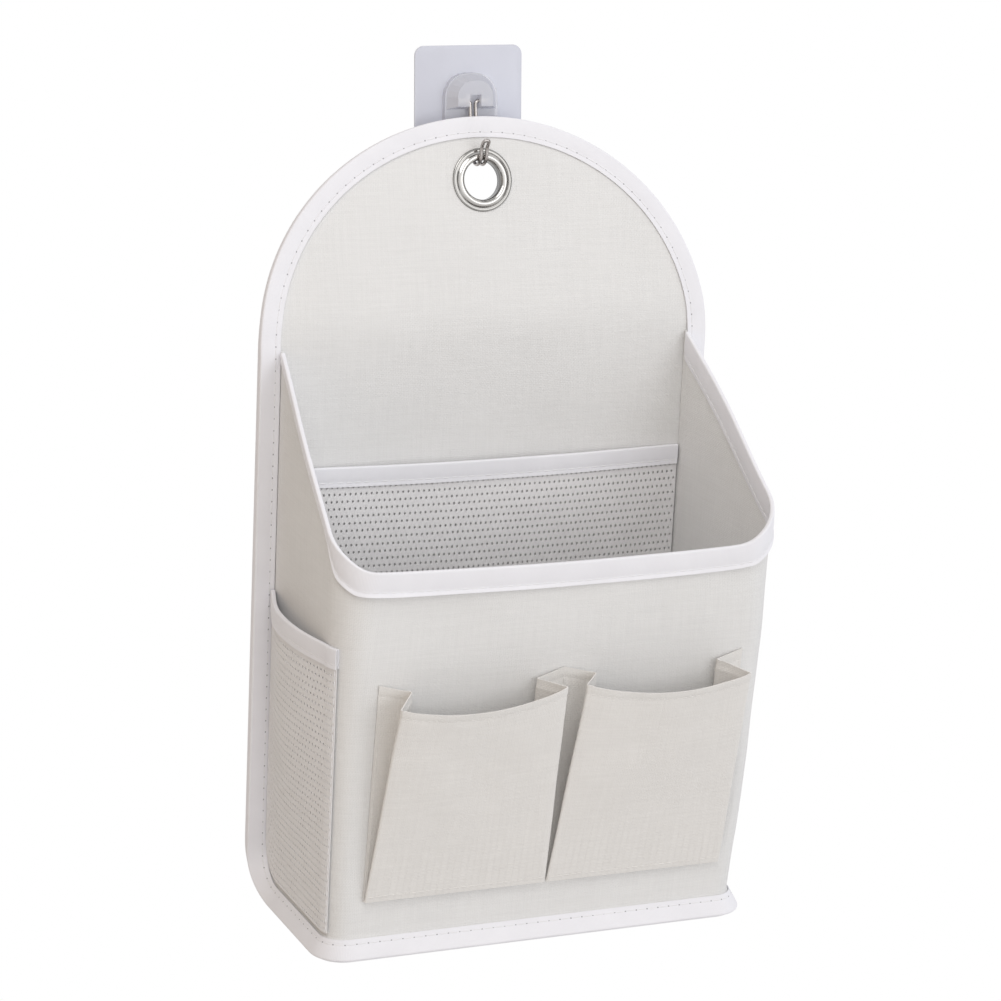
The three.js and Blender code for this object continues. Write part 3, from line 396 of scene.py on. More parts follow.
# %% [markdown]
# ## From pattern to mesh
#
# A piece of cloth is a grid of points, and each point remembers its place on the flat cut. That
# flat place becomes the UV map `flat`, in millimetres, which the weave reads. One class collects
# the grids of a piece. Wire and plate have no pattern: they are rings of points joined into a
# closed skin. Corners are rounded by one small curve wherever a line of points turns.

# %% Tools for cutting
class Cut:
    """Grids of points in millimetres, each with its place on the flat cloth."""

    def __init__(self):
        self.points, self.flat, self.faces = [], [], []

    def grid(self, rows, columns, at, ring=False, keep=None):
        start, wide = len(self.points), len(columns)
        for row in rows:
            for column in columns:
                point, flat = at(row, column)
                self.points.append(Vector(point))
                self.flat.append(flat)
        for i in range(len(rows) - (0 if ring else 1)):
            for j in range(wide - 1):
                here, above = start + i * wide + j, start + (i + 1) % len(rows) * wide + j
                corners = (here, here + 1, above + 1, above)
                if keep is None or keep(*(self.flat[k] for k in corners)):
                    self.faces.append(corners)
        return self

    def skin(self, rings):
        """A closed skin over rings of (point, flat) pairs, with a flat face at each end."""
        wide = len(rings[0])
        for ring in rings:
            self.points += [point for point, flat in ring]
            self.flat += [flat for point, flat in ring]
        for i in range(len(rings) - 1):
            for j in range(wide):
                a, b = i * wide + j, i * wide + (j + 1) % wide
                self.faces.append((a, b, b + wide, a + wide))
        last = (len(rings) - 1) * wide
        self.faces += [tuple(range(wide))[::-1], tuple(range(last, last + wide))]
        return self


def runs_of(points):
    """The distance along a line of points, at each of them."""
    runs = [0.0]
    for one, two in zip(points, points[1:]):
        runs.append(runs[-1] + (two - one).length)
    return runs


def soft_corner(before, here, after, radius, limit, steps):
    """A small curve in place of the corner here; it takes at most this share of each side."""
    one, two = before - here, after - here
    back = min(radius, one.length * limit, two.length * limit)
    start, end = here + one.normalized() * back, here + two.normalized() * back
    return [start * (1 - t) ** 2 + here * 2 * t * (1 - t) + end * t * t for t in shares(steps)]


print("cutting tools ready")

# %% [markdown]
# ## From cut to finished piece
#
# A cut is only a skin. Real cloth has two faces and an edge, and the edge catches light at every
# hem, so a cut of cloth is thickened to its gauge before the piece rides its body. The size of a
# sheet's flat cut is also printed, measured on the flat places themselves.

# %% Tools for making up
def make(name, cut, material, body="bag", thickness=None, place=hang, weld=0.02, crisp=40):
    """The finished object: welded, thickened, shaded, and riding on its body."""
    mesh = bpy.data.meshes.new(name)
    mesh.from_pydata([place(p) for p in cut.points], [], cut.faces)
    if cut.flat:
        layer = mesh.uv_layers.new(name="flat")
        corners = np.empty(len(mesh.loops), np.int32)
        mesh.loops.foreach_get("vertex_index", corners)
        layer.data.foreach_set("uv", np.array(cut.flat, np.float32)[corners].ravel())
    mesh.materials.append(material)
    shape = bmesh.new()
    shape.from_mesh(mesh)
    bmesh.ops.remove_doubles(shape, verts=shape.verts, dist=weld * MM)
    bmesh.ops.recalc_face_normals(shape, faces=shape.faces)
    shape.to_mesh(mesh)
    shape.free()
    item = bpy.data.objects.new(name, mesh)
    bpy.context.scene.collection.objects.link(item)
    if thickness:
        solid = item.modifiers.new("thickness", "SOLIDIFY")
        solid.thickness, solid.offset, solid.use_even_offset = thickness * MM, 0, True
        drawn = item.evaluated_get(bpy.context.evaluated_depsgraph_get())
        solid_mesh = bpy.data.meshes.new_from_object(drawn)
        item.modifiers.clear()
        item.data = solid_mesh
    item.data.name = name
    item.data.polygons.foreach_set("use_smooth", [True] * len(item.data.polygons))
    item.data.set_sharp_from_angle(angle=radians(crisp))
    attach(item, body)
    return item


def flat_area(cut):
    """The area of the flat cut in square metres, from the places on the cloth."""
    places = np.array(cut.flat, float)
    total = 0.0
    for face in cut.faces:
        x, y = places[list(face)].T
        total += abs(np.dot(x, np.roll(y, -1)) - np.dot(y, np.roll(x, -1))) / 2
    return total * MM * MM


def cut_size(cut):
    places = np.array(cut.flat, float)
    return tuple(float(v) * MM for v in np.ptp(places, axis=0))


def declare(item, cut):
    size, area = cut_size(cut), flat_area(cut)
    faces = len(item.data.polygons)
    print(f"{item.name}: cut {size[0]:.3f} x {size[1]:.3f} m, {area:.4f} m2, {faces} faces")


print("tools for making up ready")

# %% [markdown]
# ## How the panel bends
#
# The back and the base are one strip: it lies along the base, turns up round the bottom bend,
# runs up the back, and leans back in the arch. A place on it has x across, s along, and n, the
# height over its inner face. Working in these three keeps every layer, tape and ring at its true
# distance from the cloth, whichever way the cloth turns.

# %% The bent strip and the seam round it
ARCH_STATIONS, BACK_STATIONS = 56, 56  # down the arch and down the back
BEND_STATIONS, BASE_STATIONS, CORNER_STATIONS, FRONT_STATIONS = 14, 14, 8, 22


def panel_frame(s):
    """y and z of the strip's inner face, and how far it has turned from upright."""
    if s < BOTTOM_BEND:
        turn = min((BOTTOM_BEND - s) / BOTTOM_BEND, pi / 2)
        run = max(BASE_START - s, 0)
        return -BOTTOM_BEND * (1 - cos(turn)) - run, BOTTOM_BEND * (1 - sin(turn)), turn
    turn = min(max(s - SIDE_PEAK, 0) / CREASE_RADIUS, CREASE_ANGLE)
    run = max(s - SIDE_PEAK - CREASE_LENGTH, 0)
    y = CREASE_RADIUS * (1 - cos(turn)) + run * sin(turn)
    return y, min(s, SIDE_PEAK) + CREASE_RADIUS * sin(turn) + run * cos(turn), turn


def panel_point(x, s, n):
    y, z, turn = panel_frame(s)
    return Vector((x, y - n * cos(turn), z + n * sin(turn)))


def seam_half():
    """x, s and the way out, from the top of the arch to the middle of the front edge."""
    line = []
    for turn in (pi / 2 * (1 - share) for share in shares(ARCH_STATIONS)):
        run, rise = cos(turn), sin(turn)
        out = Vector((-run / HALF_WIDTH, rise / SEAM_RISE)).normalized()
        line.append((-HALF_WIDTH * run, SIDE_PEAK + SEAM_RISE * rise, out.x, out.y))
    front, corner = FRONT_EDGE + BASE_CORNER, -HALF_WIDTH + BASE_CORNER
    straight = ((SIDE_PEAK, BOTTOM_BEND, BACK_STATIONS), (BOTTOM_BEND, BASE_START, BEND_STATIONS),
                (BASE_START, front, BASE_STATIONS))
    for start, end, stations in straight:
        line += [(-HALF_WIDTH, mix(start, end, share), -1, 0) for share in shares(stations)[1:]]
    for share in shares(CORNER_STATIONS)[1:]:
        out_x, out_s = -cos(share * pi / 2), -sin(share * pi / 2)
        x = -HALF_WIDTH + BASE_CORNER * (1 + out_x)
        line.append((x, front + BASE_CORNER * out_s, out_x, out_s))
    line += [(mix(corner, 0, share), FRONT_EDGE, 0, -1) for share in shares(FRONT_STATIONS)[1:]]
    return line


class Seam:
    """One place on the seam: a point, the way along the flange and the way across it."""

    def __init__(self, x, s, out_x, out_s):
        self.x, self.s, self.out = x, s, (out_x, out_s)
        turn = panel_frame(s)[2]
        out = Vector((out_x, out_s * sin(turn), out_s * cos(turn)))
        inward = Vector((0, -cos(turn), sin(turn)))
        self.fold = SKIRT_ANGLE * smooth((BOTTOM_BEND - s) / (BOTTOM_BEND - BASE_START))
        self.along = out * cos(self.fold) - inward * sin(self.fold)
        self.across = out * sin(self.fold) + inward * cos(self.fold)
        self.at = panel_point(x, s, 0)

    def placed(self, a, b):
        return self.at + self.along * a + self.across * b

    def flat(self, a):
        return (self.x + self.out[0] * a, self.s + self.out[1] * a)


half = seam_half()
SEAM = [Seam(*place) for place in half + [(-x, s, -ox, os) for x, s, ox, os in half[-2:0:-1]]]
RUN = runs_of([seam.placed(SEAM_FLANGE / 2, 0) for seam in SEAM + SEAM[:1]])
print(f"seam: {len(SEAM)} stations, {RUN[-1]:.0f} mm round")

# %% [markdown]
# ## The panel's two cloths
#
# The panel is a sandwich of cloth, card and cloth. Seen up close, cloth over card is not quite
# flat: it lifts in broad, shallow waves. Each cloth is one grid across the strip with a flange
# round it, and the faces under the eyelet are left out, as the punch does on the real bin.

# %% Cut the panel's cloths
PUNCH = 10.8  # radius of the hole, hidden under the eyelet's ring
FLANGE_REACH = SEAM_FLANGE - TAPE_OVER
FACE_LEVEL, REAR_LEVEL = -CLOTH / 2, -2.15  # middle of each cloth, from the inner face
FACE_SWELL, REAR_SWELL = 0.45, -0.2


def panel_cut(level, swell, seed):
    cut = Cut()
    rows = [place for place in half if place[1] > FRONT_EDGE + 0.01] + [half[-FRONT_STATIONS - 1]]

    def on_panel(row, share):
        x, s = row[0] * share, row[1]
        edge = min(1, (1 - abs(share)) * 6, (SIDE_PEAK + SEAM_RISE - s) / 12 + 0.02)
        lift = swell * max(edge, 0) * (0.5 + wobble(x, s, 58, seed) + 0.4 * wobble(x, s, 21, seed))
        return panel_point(x, s, level + (lift if s > BOTTOM_BEND else 0)), (x, s)

    def away(*corners):
        middle = np.mean(corners, axis=0)
        return hypot(middle[0], middle[1] - EYELET_S) > PUNCH

    cut.grid(rows, [share * 2 - 1 for share in shares(96)], on_panel, keep=away)

    def on_flange(station, a):
        start = -level * tan(station.fold / 2)
        return station.placed(mix(start, FLANGE_REACH, a), level), station.flat(a * FLANGE_REACH)

    cut.grid(SEAM, [0, 0.08, 0.4, 1], on_flange, ring=True)
    return cut


face_cut = panel_cut(FACE_LEVEL, FACE_SWELL, 7.3)
panel_face = make("panel_face", face_cut, PANEL_LINEN, thickness=CLOTH)
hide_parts("panel_face_cloth")
rear_cut = panel_cut(REAR_LEVEL, REAR_SWELL, 3.1)
panel_rear = make("panel_rear", rear_cut, PANEL_LINEN, thickness=CLOTH)
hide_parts("panel_rear_cloth")
print("panel faces", len(face_cut.faces), "rear", len(rear_cut.faces))

# %% [markdown]
# ## Where the wall stands
#
# The left side, the front and the right side are one strip. Its position u runs from 0 at the
# back of the left side, over 1 and 2 at the front's left corner, to 5 at the right back. The rim
# is cut in a long S. The strip could be modelled as three flat plates, but it is one cloth on the
# real bin and its corners open out towards the rim, so it is one surface here too.

# %% The wall's surface
U_END = 5
SIDE_RUN = BASE_DEPTH - BASE_CORNER - PLY_GAP


def wall_point(u, z):
    if u > U_END / 2:
        other = wall_point(U_END - u, z)
        return Vector((-other.x, other.y, other.z))
    share = min(max(z / FRONT_HEIGHT, 0), 1)
    depth, half_width = BASE_DEPTH + RIM_FLARE * share, HALF_WIDTH + RIM_SPREAD * share
    radius = mix(BASE_CORNER, RIM_CORNER, share**3)
    if u <= 1:
        x = -mix(HALF_WIDTH, half_width, u) - SIDE_BULGE * sin(pi * u) ** 2 * z / SIDE_PEAK
        return Vector((x, -mix(PLY_GAP, depth - radius, u), z))
    if u <= 2:
        turn = (u - 1) * pi / 2
        x = -(half_width - radius) - radius * cos(turn)
        return Vector((x, -(depth - radius) - radius * sin(turn), z))
    return Vector((-(half_width - radius) * (1 - 2 * (u - 2)), -depth, z))


def clear_height(u, clearance):
    """Height of the line that keeps this far off the panel round its bottom bend."""
    run = PLY_GAP + min(u, U_END - u) * SIDE_RUN
    if run >= BOTTOM_BEND:
        return clearance
    return BOTTOM_BEND - sqrt(max((BOTTOM_BEND - clearance) ** 2 - (BOTTOM_BEND - run) ** 2, 0))


def bend_position(share, clearance):
    run = clearance + (BOTTOM_BEND - clearance) * (1 - cos(share * pi / 2))
    return (run - PLY_GAP) / SIDE_RUN


print(f"each side runs {SIDE_RUN:.1f} mm at its foot, to a corner of {BASE_CORNER} mm radius")

# %% [markdown]
# ## The rim's line and the wall's small waves
#
# The rim is one cut of the scissors: high at the panel, falling along each side and level in
# front. It could be a straight slope, but here the cloth eases into the level part over a short
# knee and sags a little between the corners. The wall is held flat where the pockets are sewn
# on, and waves slightly elsewhere.

# %% The rim's line
RIM_FRONT = 170  # about the length of the rim's front between its corners
HALFWAY_SIDE, HALFWAY_CORNER, HALFWAY_FRONT = 78, 21, 178  # the same lengths at half the height
POCKET_CALM = 126  # up to this height the front pockets hold the wall flat


def length_to(v, side, corner, front):
    """The length from the back to v, given the lengths of the side, the corner and the front."""
    return min(v, 1) * side + min(max(v - 1, 0), 1) * corner + max(v - 2, 0) * front


def rim_height(u):
    """A slanted cut that levels out over a short knee at the front, sooner on the left."""
    side, corner = BASE_DEPTH + RIM_FLARE - RIM_CORNER, RIM_CORNER * pi / 2
    v, fall = min(u, U_END - u, U_END / 2), SIDE_PEAK - FRONT_HEIGHT
    share = length_to(v, side, corner, RIM_FRONT)
    share /= side + corner * (LEFT_REACH if u < U_END / 2 else 1)
    above = fall * (1 - share) + RIM_SWING * sin(2 * pi * min(share, 1))
    eased = min((above + hypot(above, RIM_KNEE)) / 2, fall)
    return FRONT_HEIGHT + eased - RIM_SAG * sin(pi * max(v - 2, 0))


def wall_normal(u, z):
    around = wall_point(min(u + 0.01, U_END), z) - wall_point(max(u - 0.01, 0), z)
    return around.cross(wall_point(u, z) - wall_point(u, z - 0.35)).normalized()


def off_wall(u, z, out):
    return wall_point(u, z) + wall_normal(u, z) * out


def rim_tape_foot(u):
    before, after = max(u - 0.01, 0), min(u + 0.01, U_END)
    run = (wall_point(after, FRONT_HEIGHT) - wall_point(before, FRONT_HEIGHT)).length
    return rim_height(u) - RIM_TAPE_WIDTH * hypot(1, (rim_height(after) - rim_height(before)) / run)


def wall_run(u):
    """Distance along the wall at half its height, for the flat cut."""
    halfway = (HALFWAY_SIDE, HALFWAY_CORNER, HALFWAY_FRONT)
    run = length_to(min(u, U_END - u), *halfway)
    return run if u <= U_END / 2 else 2 * length_to(U_END / 2, *halfway) - run


def ripple(u, z):
    """The slight unevenness of a cloth wall, none at its seams and little under its pockets."""
    x = wall_run(u)
    edge = min(u, U_END - u, 0.5) / 0.5 * smooth(z / 30) * smooth((rim_height(u) - z) / 22)
    calm = mix(0.25, 1, smooth((z - POCKET_CALM) / 16)) if 2 <= u <= 3 else 1
    return edge * calm * (wobble(x, z, 62, 1.7) + 0.3 * wobble(x, z, 24, 5.2))


print(f"front rim {FRONT_HEIGHT} mm up, {BASE_DEPTH + RIM_FLARE} mm from the back")

# %% [markdown]
# ## The wall cloth
#
# The wall ends in a narrow flange all round its foot and up its two back edges, sewn between the
# panel and the white tape. Its grid follows the same stations as the seam below it, so wall and
# panel meet along one line. They could be joined by a plain edge, but the light along that seam
# comes from the flange, so it is made too, with an extra line of points close to its fold.

# %% Cut the wall
def standing(part, share):
    """u above a part of the left seam, as a function of the clearance there."""
    return (lambda c: bend_position(share, c), lambda c: mix(bend_position(1, c), 1, share),
            lambda c: 1 + share, lambda c: 2 + share / 2)[part]


left_stand = [standing(0, 0)]
for part, count in enumerate((BEND_STATIONS, BASE_STATIONS, CORNER_STATIONS, FRONT_STATIONS)):
    left_stand += [standing(part, share) for share in shares(count)[1:]]
left_wall = list(zip(SEAM[ARCH_STATIONS + BACK_STATIONS:], left_stand))
right_wall = list(zip(SEAM[ARCH_STATIONS + BACK_STATIONS + len(left_wall):], [
    (lambda c, stand=stand: U_END - stand(c)) for stand in left_stand[-2::-1]
]))
WALL = left_wall + right_wall


def wall_cut():
    cut = Cut()
    rise = shares(64)
    level, middle = 0.5, CLOTH / 2

    def corner(seam, stand):
        clearance = (level - middle * sin(seam.fold)) / cos(seam.fold)
        return stand(clearance), clearance

    def on_wall(share, column):
        seam, stand = column
        u, clearance = corner(seam, stand)
        foot = clear_height(u, clearance)
        z = mix(foot, rim_height(u), share)
        return off_wall(u, z, middle + ripple(u, z)), (wall_run(u), z)

    cut.grid(rise, WALL, on_wall)
    edge = [(share, WALL[0]) for share in rise[::-1]] + [(0, column) for column in WALL[1:-1]]
    edge += [(share, WALL[-1]) for share in rise]

    def on_flange(place, a):
        share, column = place
        at, flat = on_wall(share, column)
        seam = column[0]
        if share > 0:
            hand = 1 if at.x > 0 else -1
            seam = Seam(hand * HALF_WIDTH, at.z, hand, 0)
        end, wide = seam.placed(FLANGE_REACH, level), a * FLANGE_REACH
        down = seam.out[1] * wide if share == 0 else 0
        return at.lerp(end, a), (flat[0] + seam.out[0] * wide, flat[1] + down)

    cut.grid(edge, [0, 0.1, 0.5, 1], on_flange)
    return cut


the_wall_cut = wall_cut()
wall = make("wall", the_wall_cut, PANEL_LINEN, thickness=CLOTH)
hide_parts("wall_cloth")
print("wall faces", len(wall.data.polygons))

# %% [markdown]
# ## Folding a tape over an edge
#
# A binding is a tape folded in half along its length, with the cloth inside. It could be a solid
# bar, but then its edges would look cast. Here its section is a thin ribbon: two arms and a web,
# with rounded corners, and each arm dips where the needle pulls it down and swells beside it.

# %% The section of a folded tape
STITCH_SHARE = 0.3  # on a narrow arm the stitches lie at this share of it


def rounded(line, radius, steps=4):
    """The same line of points with each corner replaced by a small curve."""
    line = [Vector(place) for place in line]
    made = [line[0]]
    for before, here, after in zip(line, line[1:], line[2:]):
        made += soft_corner(before, here, after, radius, 0.49, steps)
    return made + [line[-1]]


def tape_arm(start, web, stitch, pinch, lip, corner):
    """Places along one arm and how far each stands off: lip, stitch groove, swell."""
    reach, swell = web - start, pinch * 1.2
    stitch, corner = min(stitch, reach * STITCH_SHARE), min(corner, reach * 0.15)
    return ((start, lip), (start + stitch * 0.4, lip * 0.75), (start + stitch * 0.65, 0),
            (start + stitch, -pinch), (start + stitch * 1.5, swell * 0.5),
            (mix(start + stitch, web, 0.55), swell), (web - corner * 1.6, swell * 0.4))


def tape_section(start, web, low, high, stitch, pinch, lip, corner, front_start=None):
    """Middle line of the tape: from one arm's end, round the web, to the other arm's end."""
    high, low, web = high + TAPE / 2, low - TAPE / 2, web - TAPE / 2
    front_start = start if front_start is None else front_start
    upper = [(a, high + lift) for a, lift in tape_arm(front_start, web, stitch, pinch, lip, corner)]
    lower = [(a, low - lift) for a, lift in tape_arm(start, web, stitch, pinch, lip, corner)]
    bend = rounded([upper[-1], (web, high), (web, low), lower[-1]], corner, 5)
    return [Vector(p) for p in upper[:-1]] + bend + [Vector(p) for p in lower[-2::-1]]


SECTION_POINTS = len(tape_section(0, SEAM_TAPE_WIDTH, -1, 1, 2, 0.1, 0.1, 1))
print("tape section has", SECTION_POINTS, "points")

# %% [markdown]
# ## The seam binding
#
# One tape runs all round the panel: over the arch, down both sides, round the bottom bend and
# along the base's front edge. On the arch it closes over the panel alone, and further down it
# also holds the flange of the wall, so its front arm stands a little higher there.

# %% Sew on the seam binding
STITCH_IN = 2.3  # from the tape's inner edge to its line of stitches
SEAM_START, SEAM_CORNER = SEAM_FLANGE - SEAM_TAPE_WIDTH, 0.9
TAPE_LOW = -2.65  # the lower arm's inner face, just under the rear cloth
OVER_WALL, OVER_PANEL = 1.0, 0.25  # the upper arm's inner face, with and without the wall's flange


def seam_high(s):
    return mix(OVER_WALL, OVER_PANEL, smooth((s - SIDE_PEAK + 3) / 9))


def seam_tape_cut():
    rows = list(zip(SEAM, RUN)) + [(SEAM[0], RUN[-1])]

    def on_tape(row, column):
        seam, run = row
        pinch, lip = 0.11 + 0.05 * wobble(run, 0, 17, 8.8), 0.08 + 0.14 * wobble(run, 3, 23, 2.2)
        section = tape_section(SEAM_START, SEAM_FLANGE, TAPE_LOW, seam_high(seam.s), STITCH_IN,
                               pinch, lip, SEAM_CORNER)
        a, n = section[column]
        if n < 0 and seam.fold:  # under the skirt, the lower arm starts clear of the rear cloth
            a = max(a, -TAPE_LOW * tan(seam.fold / 2) + PLY_GAP * 1.6) if a < 4 else a
        return seam.placed(a, n), (runs_of(section)[column], run)

    return Cut().grid(rows, range(SECTION_POINTS), on_tape)


seam_cut = seam_tape_cut()
seam_tape = make("seam_tape", seam_cut, TAPE_WHITE, thickness=TAPE, crisp=60)
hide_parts("seam_binding")
print("seam tape faces", len(seam_tape.data.polygons))

# %% [markdown]
# ## The rim binding
#
# The rim's tape is folded over the top of the wall. On the slanted sides most of it lies inside,
# and outside only a thin bright edge shows; along the front it is even. Its lower edge does not
# lie down: it stands off as a thin ridge over the line of stitches, most of all round the left
# front corner, where the tape was pulled round the bend. The ridge is the `lip` of the section.

# %% Sew on the rim binding
RIM_FROM = (2.3 - PLY_GAP) / (BASE_DEPTH + RIM_FLARE - RIM_CORNER)
SIDE_STEPS, CORNER_STEPS, FRONT_STEPS = 44, 20, 60
SIDE_SHOWS = 0.27  # share of the tape's width that lies outside on the slanted sides
EDGE_STITCH_IN, WEB_CORNER = 2.0, 0.7


def rim_columns():
    left = [mix(RIM_FROM, 1, t) for t in shares(SIDE_STEPS)]
    left += [1 + t for t in shares(CORNER_STEPS)[1:]]
    return left + [2 + t for t in shares(FRONT_STEPS)[1:-1]] + [U_END - u for u in left[::-1]]


RIM_U = rim_columns()
RIM_RUN = runs_of([wall_point(u, rim_height(u)) for u in RIM_U])


def rim_frame(u):
    top, foot = off_wall(u, rim_height(u), CLOTH / 2), off_wall(u, rim_tape_foot(u), CLOTH / 2)
    reach = (top - foot).length
    return top, (top - foot).normalized(), wall_normal(u, rim_height(u)), reach


def rim_lip(u, run):
    round_corner = max(0, 1 - abs(u - 1.7) / 0.8)
    return 0.42 + 0.75 * smooth(round_corner) + 0.22 * wobble(run, 1, 31, 6.1)


def outer_share(u):
    """How much of the tape lies outside: little on the slanted sides, all at the front."""
    return mix(SIDE_SHOWS, 1, smooth((min(u, U_END - u) - 0.9) / 0.4))


def edge_tape(rows, frame_at, lip_at, half_cloth, front=lambda place: 1):
    """A tape folded over the top edge of a sheet, given a frame for each place along it."""
    slot, pinch, inner_lip = half_cloth + PLY_GAP, 0.12, 0.25

    def on_tape(row, column):
        place, run = row
        at, along, across, reach = frame_at(place)
        lip, outer = lip_at(place, run), front(place)
        section = tape_section(-reach, TAPE_OVER, -slot, slot, EDGE_STITCH_IN, pinch, lip * outer,
                               WEB_CORNER, -reach * outer)
        a, n = section[column]
        if n < 0 and column > SECTION_POINTS - 3:  # inside, a high lip is pressed down
            n += max(lip - inner_lip, 0)
        return at + along * a + across * n, (runs_of(section)[column], run)

    return Cut().grid(rows, range(SECTION_POINTS), on_tape)


rim_cut = edge_tape(list(zip(RIM_U, RIM_RUN)), rim_frame, rim_lip, CLOTH / 2, front=outer_share)
rim_tape = make("rim_tape", rim_cut, TAPE_WHITE, thickness=TAPE, crisp=60)
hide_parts("rim_binding")
print(f"rim tape {RIM_RUN[-1]:.0f} mm long, {len(rim_tape.data.polygons)} faces")

# %% [markdown]
# ## Nets with real holes
#
# The pockets inside and on the sides are knitted net. A net could be a flat sheet whose holes
# are painted or cut by transparency, but from the side such a sheet has no depth. Here every
# hole is real: the sheet is made of cells laid like bricks, and each cell is a frame of eight
# small faces round an oval. The bricks are what staggers the rows.

# %% Knit a net
HOLE_PITCH, HOLE_ROW = 2.5, 3.5  # from hole to hole in a row, and from row to row
HOLE_WIDE, HOLE_TALL = 0.46, 0.68  # half the width and half the height of a hole
RING = ((-1, -1), (0, -1), (1, -1), (1, 0), (1, 1), (0, 1), (-1, 1), (-1, 0))
HALF_CELL = ((0, 0), (1, 0), (1, 1), (1, 2), (0, 2), (0, 1))
NET_DRAWN = 0.45  # the yarn's thickness; NET also holds its slight waviness


def net_cut(wide, low_of, high, at):
    """A net from 0 to wide, and in each column from low_of(x) up to high."""
    cut, index = Cut(), {}
    columns, rows = round(wide / HOLE_PITCH), round(high / HOLE_ROW)
    step, rise = wide / columns, high / rows

    def point(i, j, dx=0.0, dy=0.0):
        """A half-cell corner i, j of the net, moved by part of a cell."""
        key = (i, j, dx, dy)
        if key not in index:
            x = (i + dx) * step / 2
            low = low_of(x)
            y = low + (high - low) * ((j + dy) / 2 / rows)
            index[key] = len(cut.points)
            cut.points.append(Vector(at(x, y)))
            cut.flat.append((x, y))
        return index[key]

    for j in range(rows):
        shift = j % 2
        for i in range(columns - shift):
            across, upward = 2 * i + 1 + shift, 2 * j + 1
            outer = [point(across + a, upward + b) for a, b in RING]
            inner = []
            for a, b in RING:
                wide_share = a / hypot(a, b) * HOLE_WIDE * 2 / step
                tall_share = b / hypot(a, b) * HOLE_TALL * 2 / rise
                inner.append(point(across, upward, wide_share, tall_share))
            for k in range(8):
                m = (k + 1) % 8
                cut.faces.append((outer[k], outer[m], inner[m], inner[k]))
        if shift:
            for i in (0, 2 * columns - 1):
                cut.faces.append(tuple(point(i + a, 2 * j + b) for a, b in HALF_CELL))
    return cut


NET_LIFT = 2 * PLY_GAP + TAPE
INNER_HALF, INNER_FOOT, INNER_HEIGHT, INNER_SLACK = 99.1, 24, 170.25, 5.5
INNER_BAND = 1 - POCKET_TAPE_WIDTH / INNER_HEIGHT


def inner_net_point(x, y, out=0.0):
    """x from 0 at the left edge, y from 0 at the foot."""
    u, v = x / (2 * INNER_HALF), y / INNER_HEIGHT
    slack = INNER_SLACK * sin(pi * u) * smooth(v / INNER_BAND)
    soft = 0.7 * wobble(x, y, 38, 9.4) * sin(pi * u) * smooth(v * 4)
    return panel_point(x - INNER_HALF, INNER_FOOT + y, NET_LIFT + slack + soft + NET / 2 + out)


inner_cut = net_cut(2 * INNER_HALF, lambda x: 0, INNER_HEIGHT, inner_net_point)
inner_net = make("inner_net", inner_cut, NET_WHITE, thickness=NET_DRAWN)
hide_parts("inner_mesh")
print("inner net:", len(inner_net.data.polygons), "faces")

# %% [markdown]
# ## The side nets
#
# Each side carries the same net, from the back seam round the front corner. Its foot follows the
# bottom bend, so the rows of holes near the back are squeezed a little. The right one is the
# left one mirrored, as bins of this kind are sewn alike on both sides, but it reaches less far
# round its corner, for nothing of it shows beyond the front.

# %% Hang the side nets
SIDE_TOP, SIDE_CLEARANCE, CORNER_RUN, SIDE_SLACK = 139, 2.4, 30, 6.5
SIDE_HIGH = SIDE_TOP - TAPE_OVER
SIDE_BAND = 1 - POCKET_TAPE_WIDTH / SIDE_HIGH
SIDE_START = bend_position(0, SIDE_CLEARANCE)
SIDE_FLAT = SIDE_RUN * (1 - SIDE_START)
SIDE_WIDE = {-1: SIDE_FLAT + 10.5, 1: SIDE_FLAT - 2}  # the width of the left net and the right one


def side_u(x):
    """u of a place x along the net: first the flat side, then a little of the front corner."""
    return mix(SIDE_START, 1, x / SIDE_FLAT) if x < SIDE_FLAT else 1 + (x - SIDE_FLAT) / CORNER_RUN


def side_net_point(x, z, out=0.0, hand=-1):
    u = side_u(x)
    low = clear_height(u, SIDE_CLEARANCE)
    v = (z - low) / (SIDE_HIGH - low)
    free = sin(pi * min(x / SIDE_FLAT, 1))
    slack = SIDE_SLACK * free * smooth(v / SIDE_BAND)
    soft = 0.8 * wobble(x, z, 33, 4.4) * free * smooth(v * 3)
    at = off_wall(u, z, CLOTH + NET_LIFT + slack + soft + NET / 2 + out)
    return Vector((-hand * at.x, at.y, at.z))


def side_net(hand):
    return lambda x, z: side_net_point(x, z, hand=hand)


side_nets = []
for side, hand in (("left", -1), ("right", 1)):
    cut = net_cut(SIDE_WIDE[hand], lambda x: clear_height(side_u(x), SIDE_CLEARANCE), SIDE_HIGH,
                  side_net(hand))
    item = make(f"{side}_net", cut, NET_WHITE, thickness=NET_DRAWN)
    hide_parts(f"{side}_mesh")
    side_nets.append((item, cut))
print("side nets:", [len(item.data.polygons) for item, cut in side_nets], "faces")

# %% [markdown]
# ## Bindings on the nets
#
# The top of each net is closed by the same white tape, which keeps it straight while the net
# below gives way. The function that bound the rim binds these too: only the frame changes.

# %% Bind the nets
OUTWARD = Vector((0, -1, 0))


def side_outward(hand):
    """The way out of the wall at a side net's tape, for each place along it."""
    def across(x):
        way = wall_normal(side_u(x), SIDE_TOP)
        return Vector((-hand * way.x, way.y, way.z))
    return across


def net_tape_cut(point_at, wide, high, band, across_at, steps, uneven):
    """The tape over the top of a net; uneven holds the three numbers of its lip's wobble."""
    def frame_at(x):
        top, foot = point_at(x, high), point_at(x, high * band)
        return top, (top - foot).normalized(), across_at(x), (top - foot).length

    rows = [(wide * t, wide * t) for t in shares(steps)]
    return edge_tape(rows, frame_at, lambda x, run: 0.1 + 0.12 * wobble(run, *uneven), NET / 2)


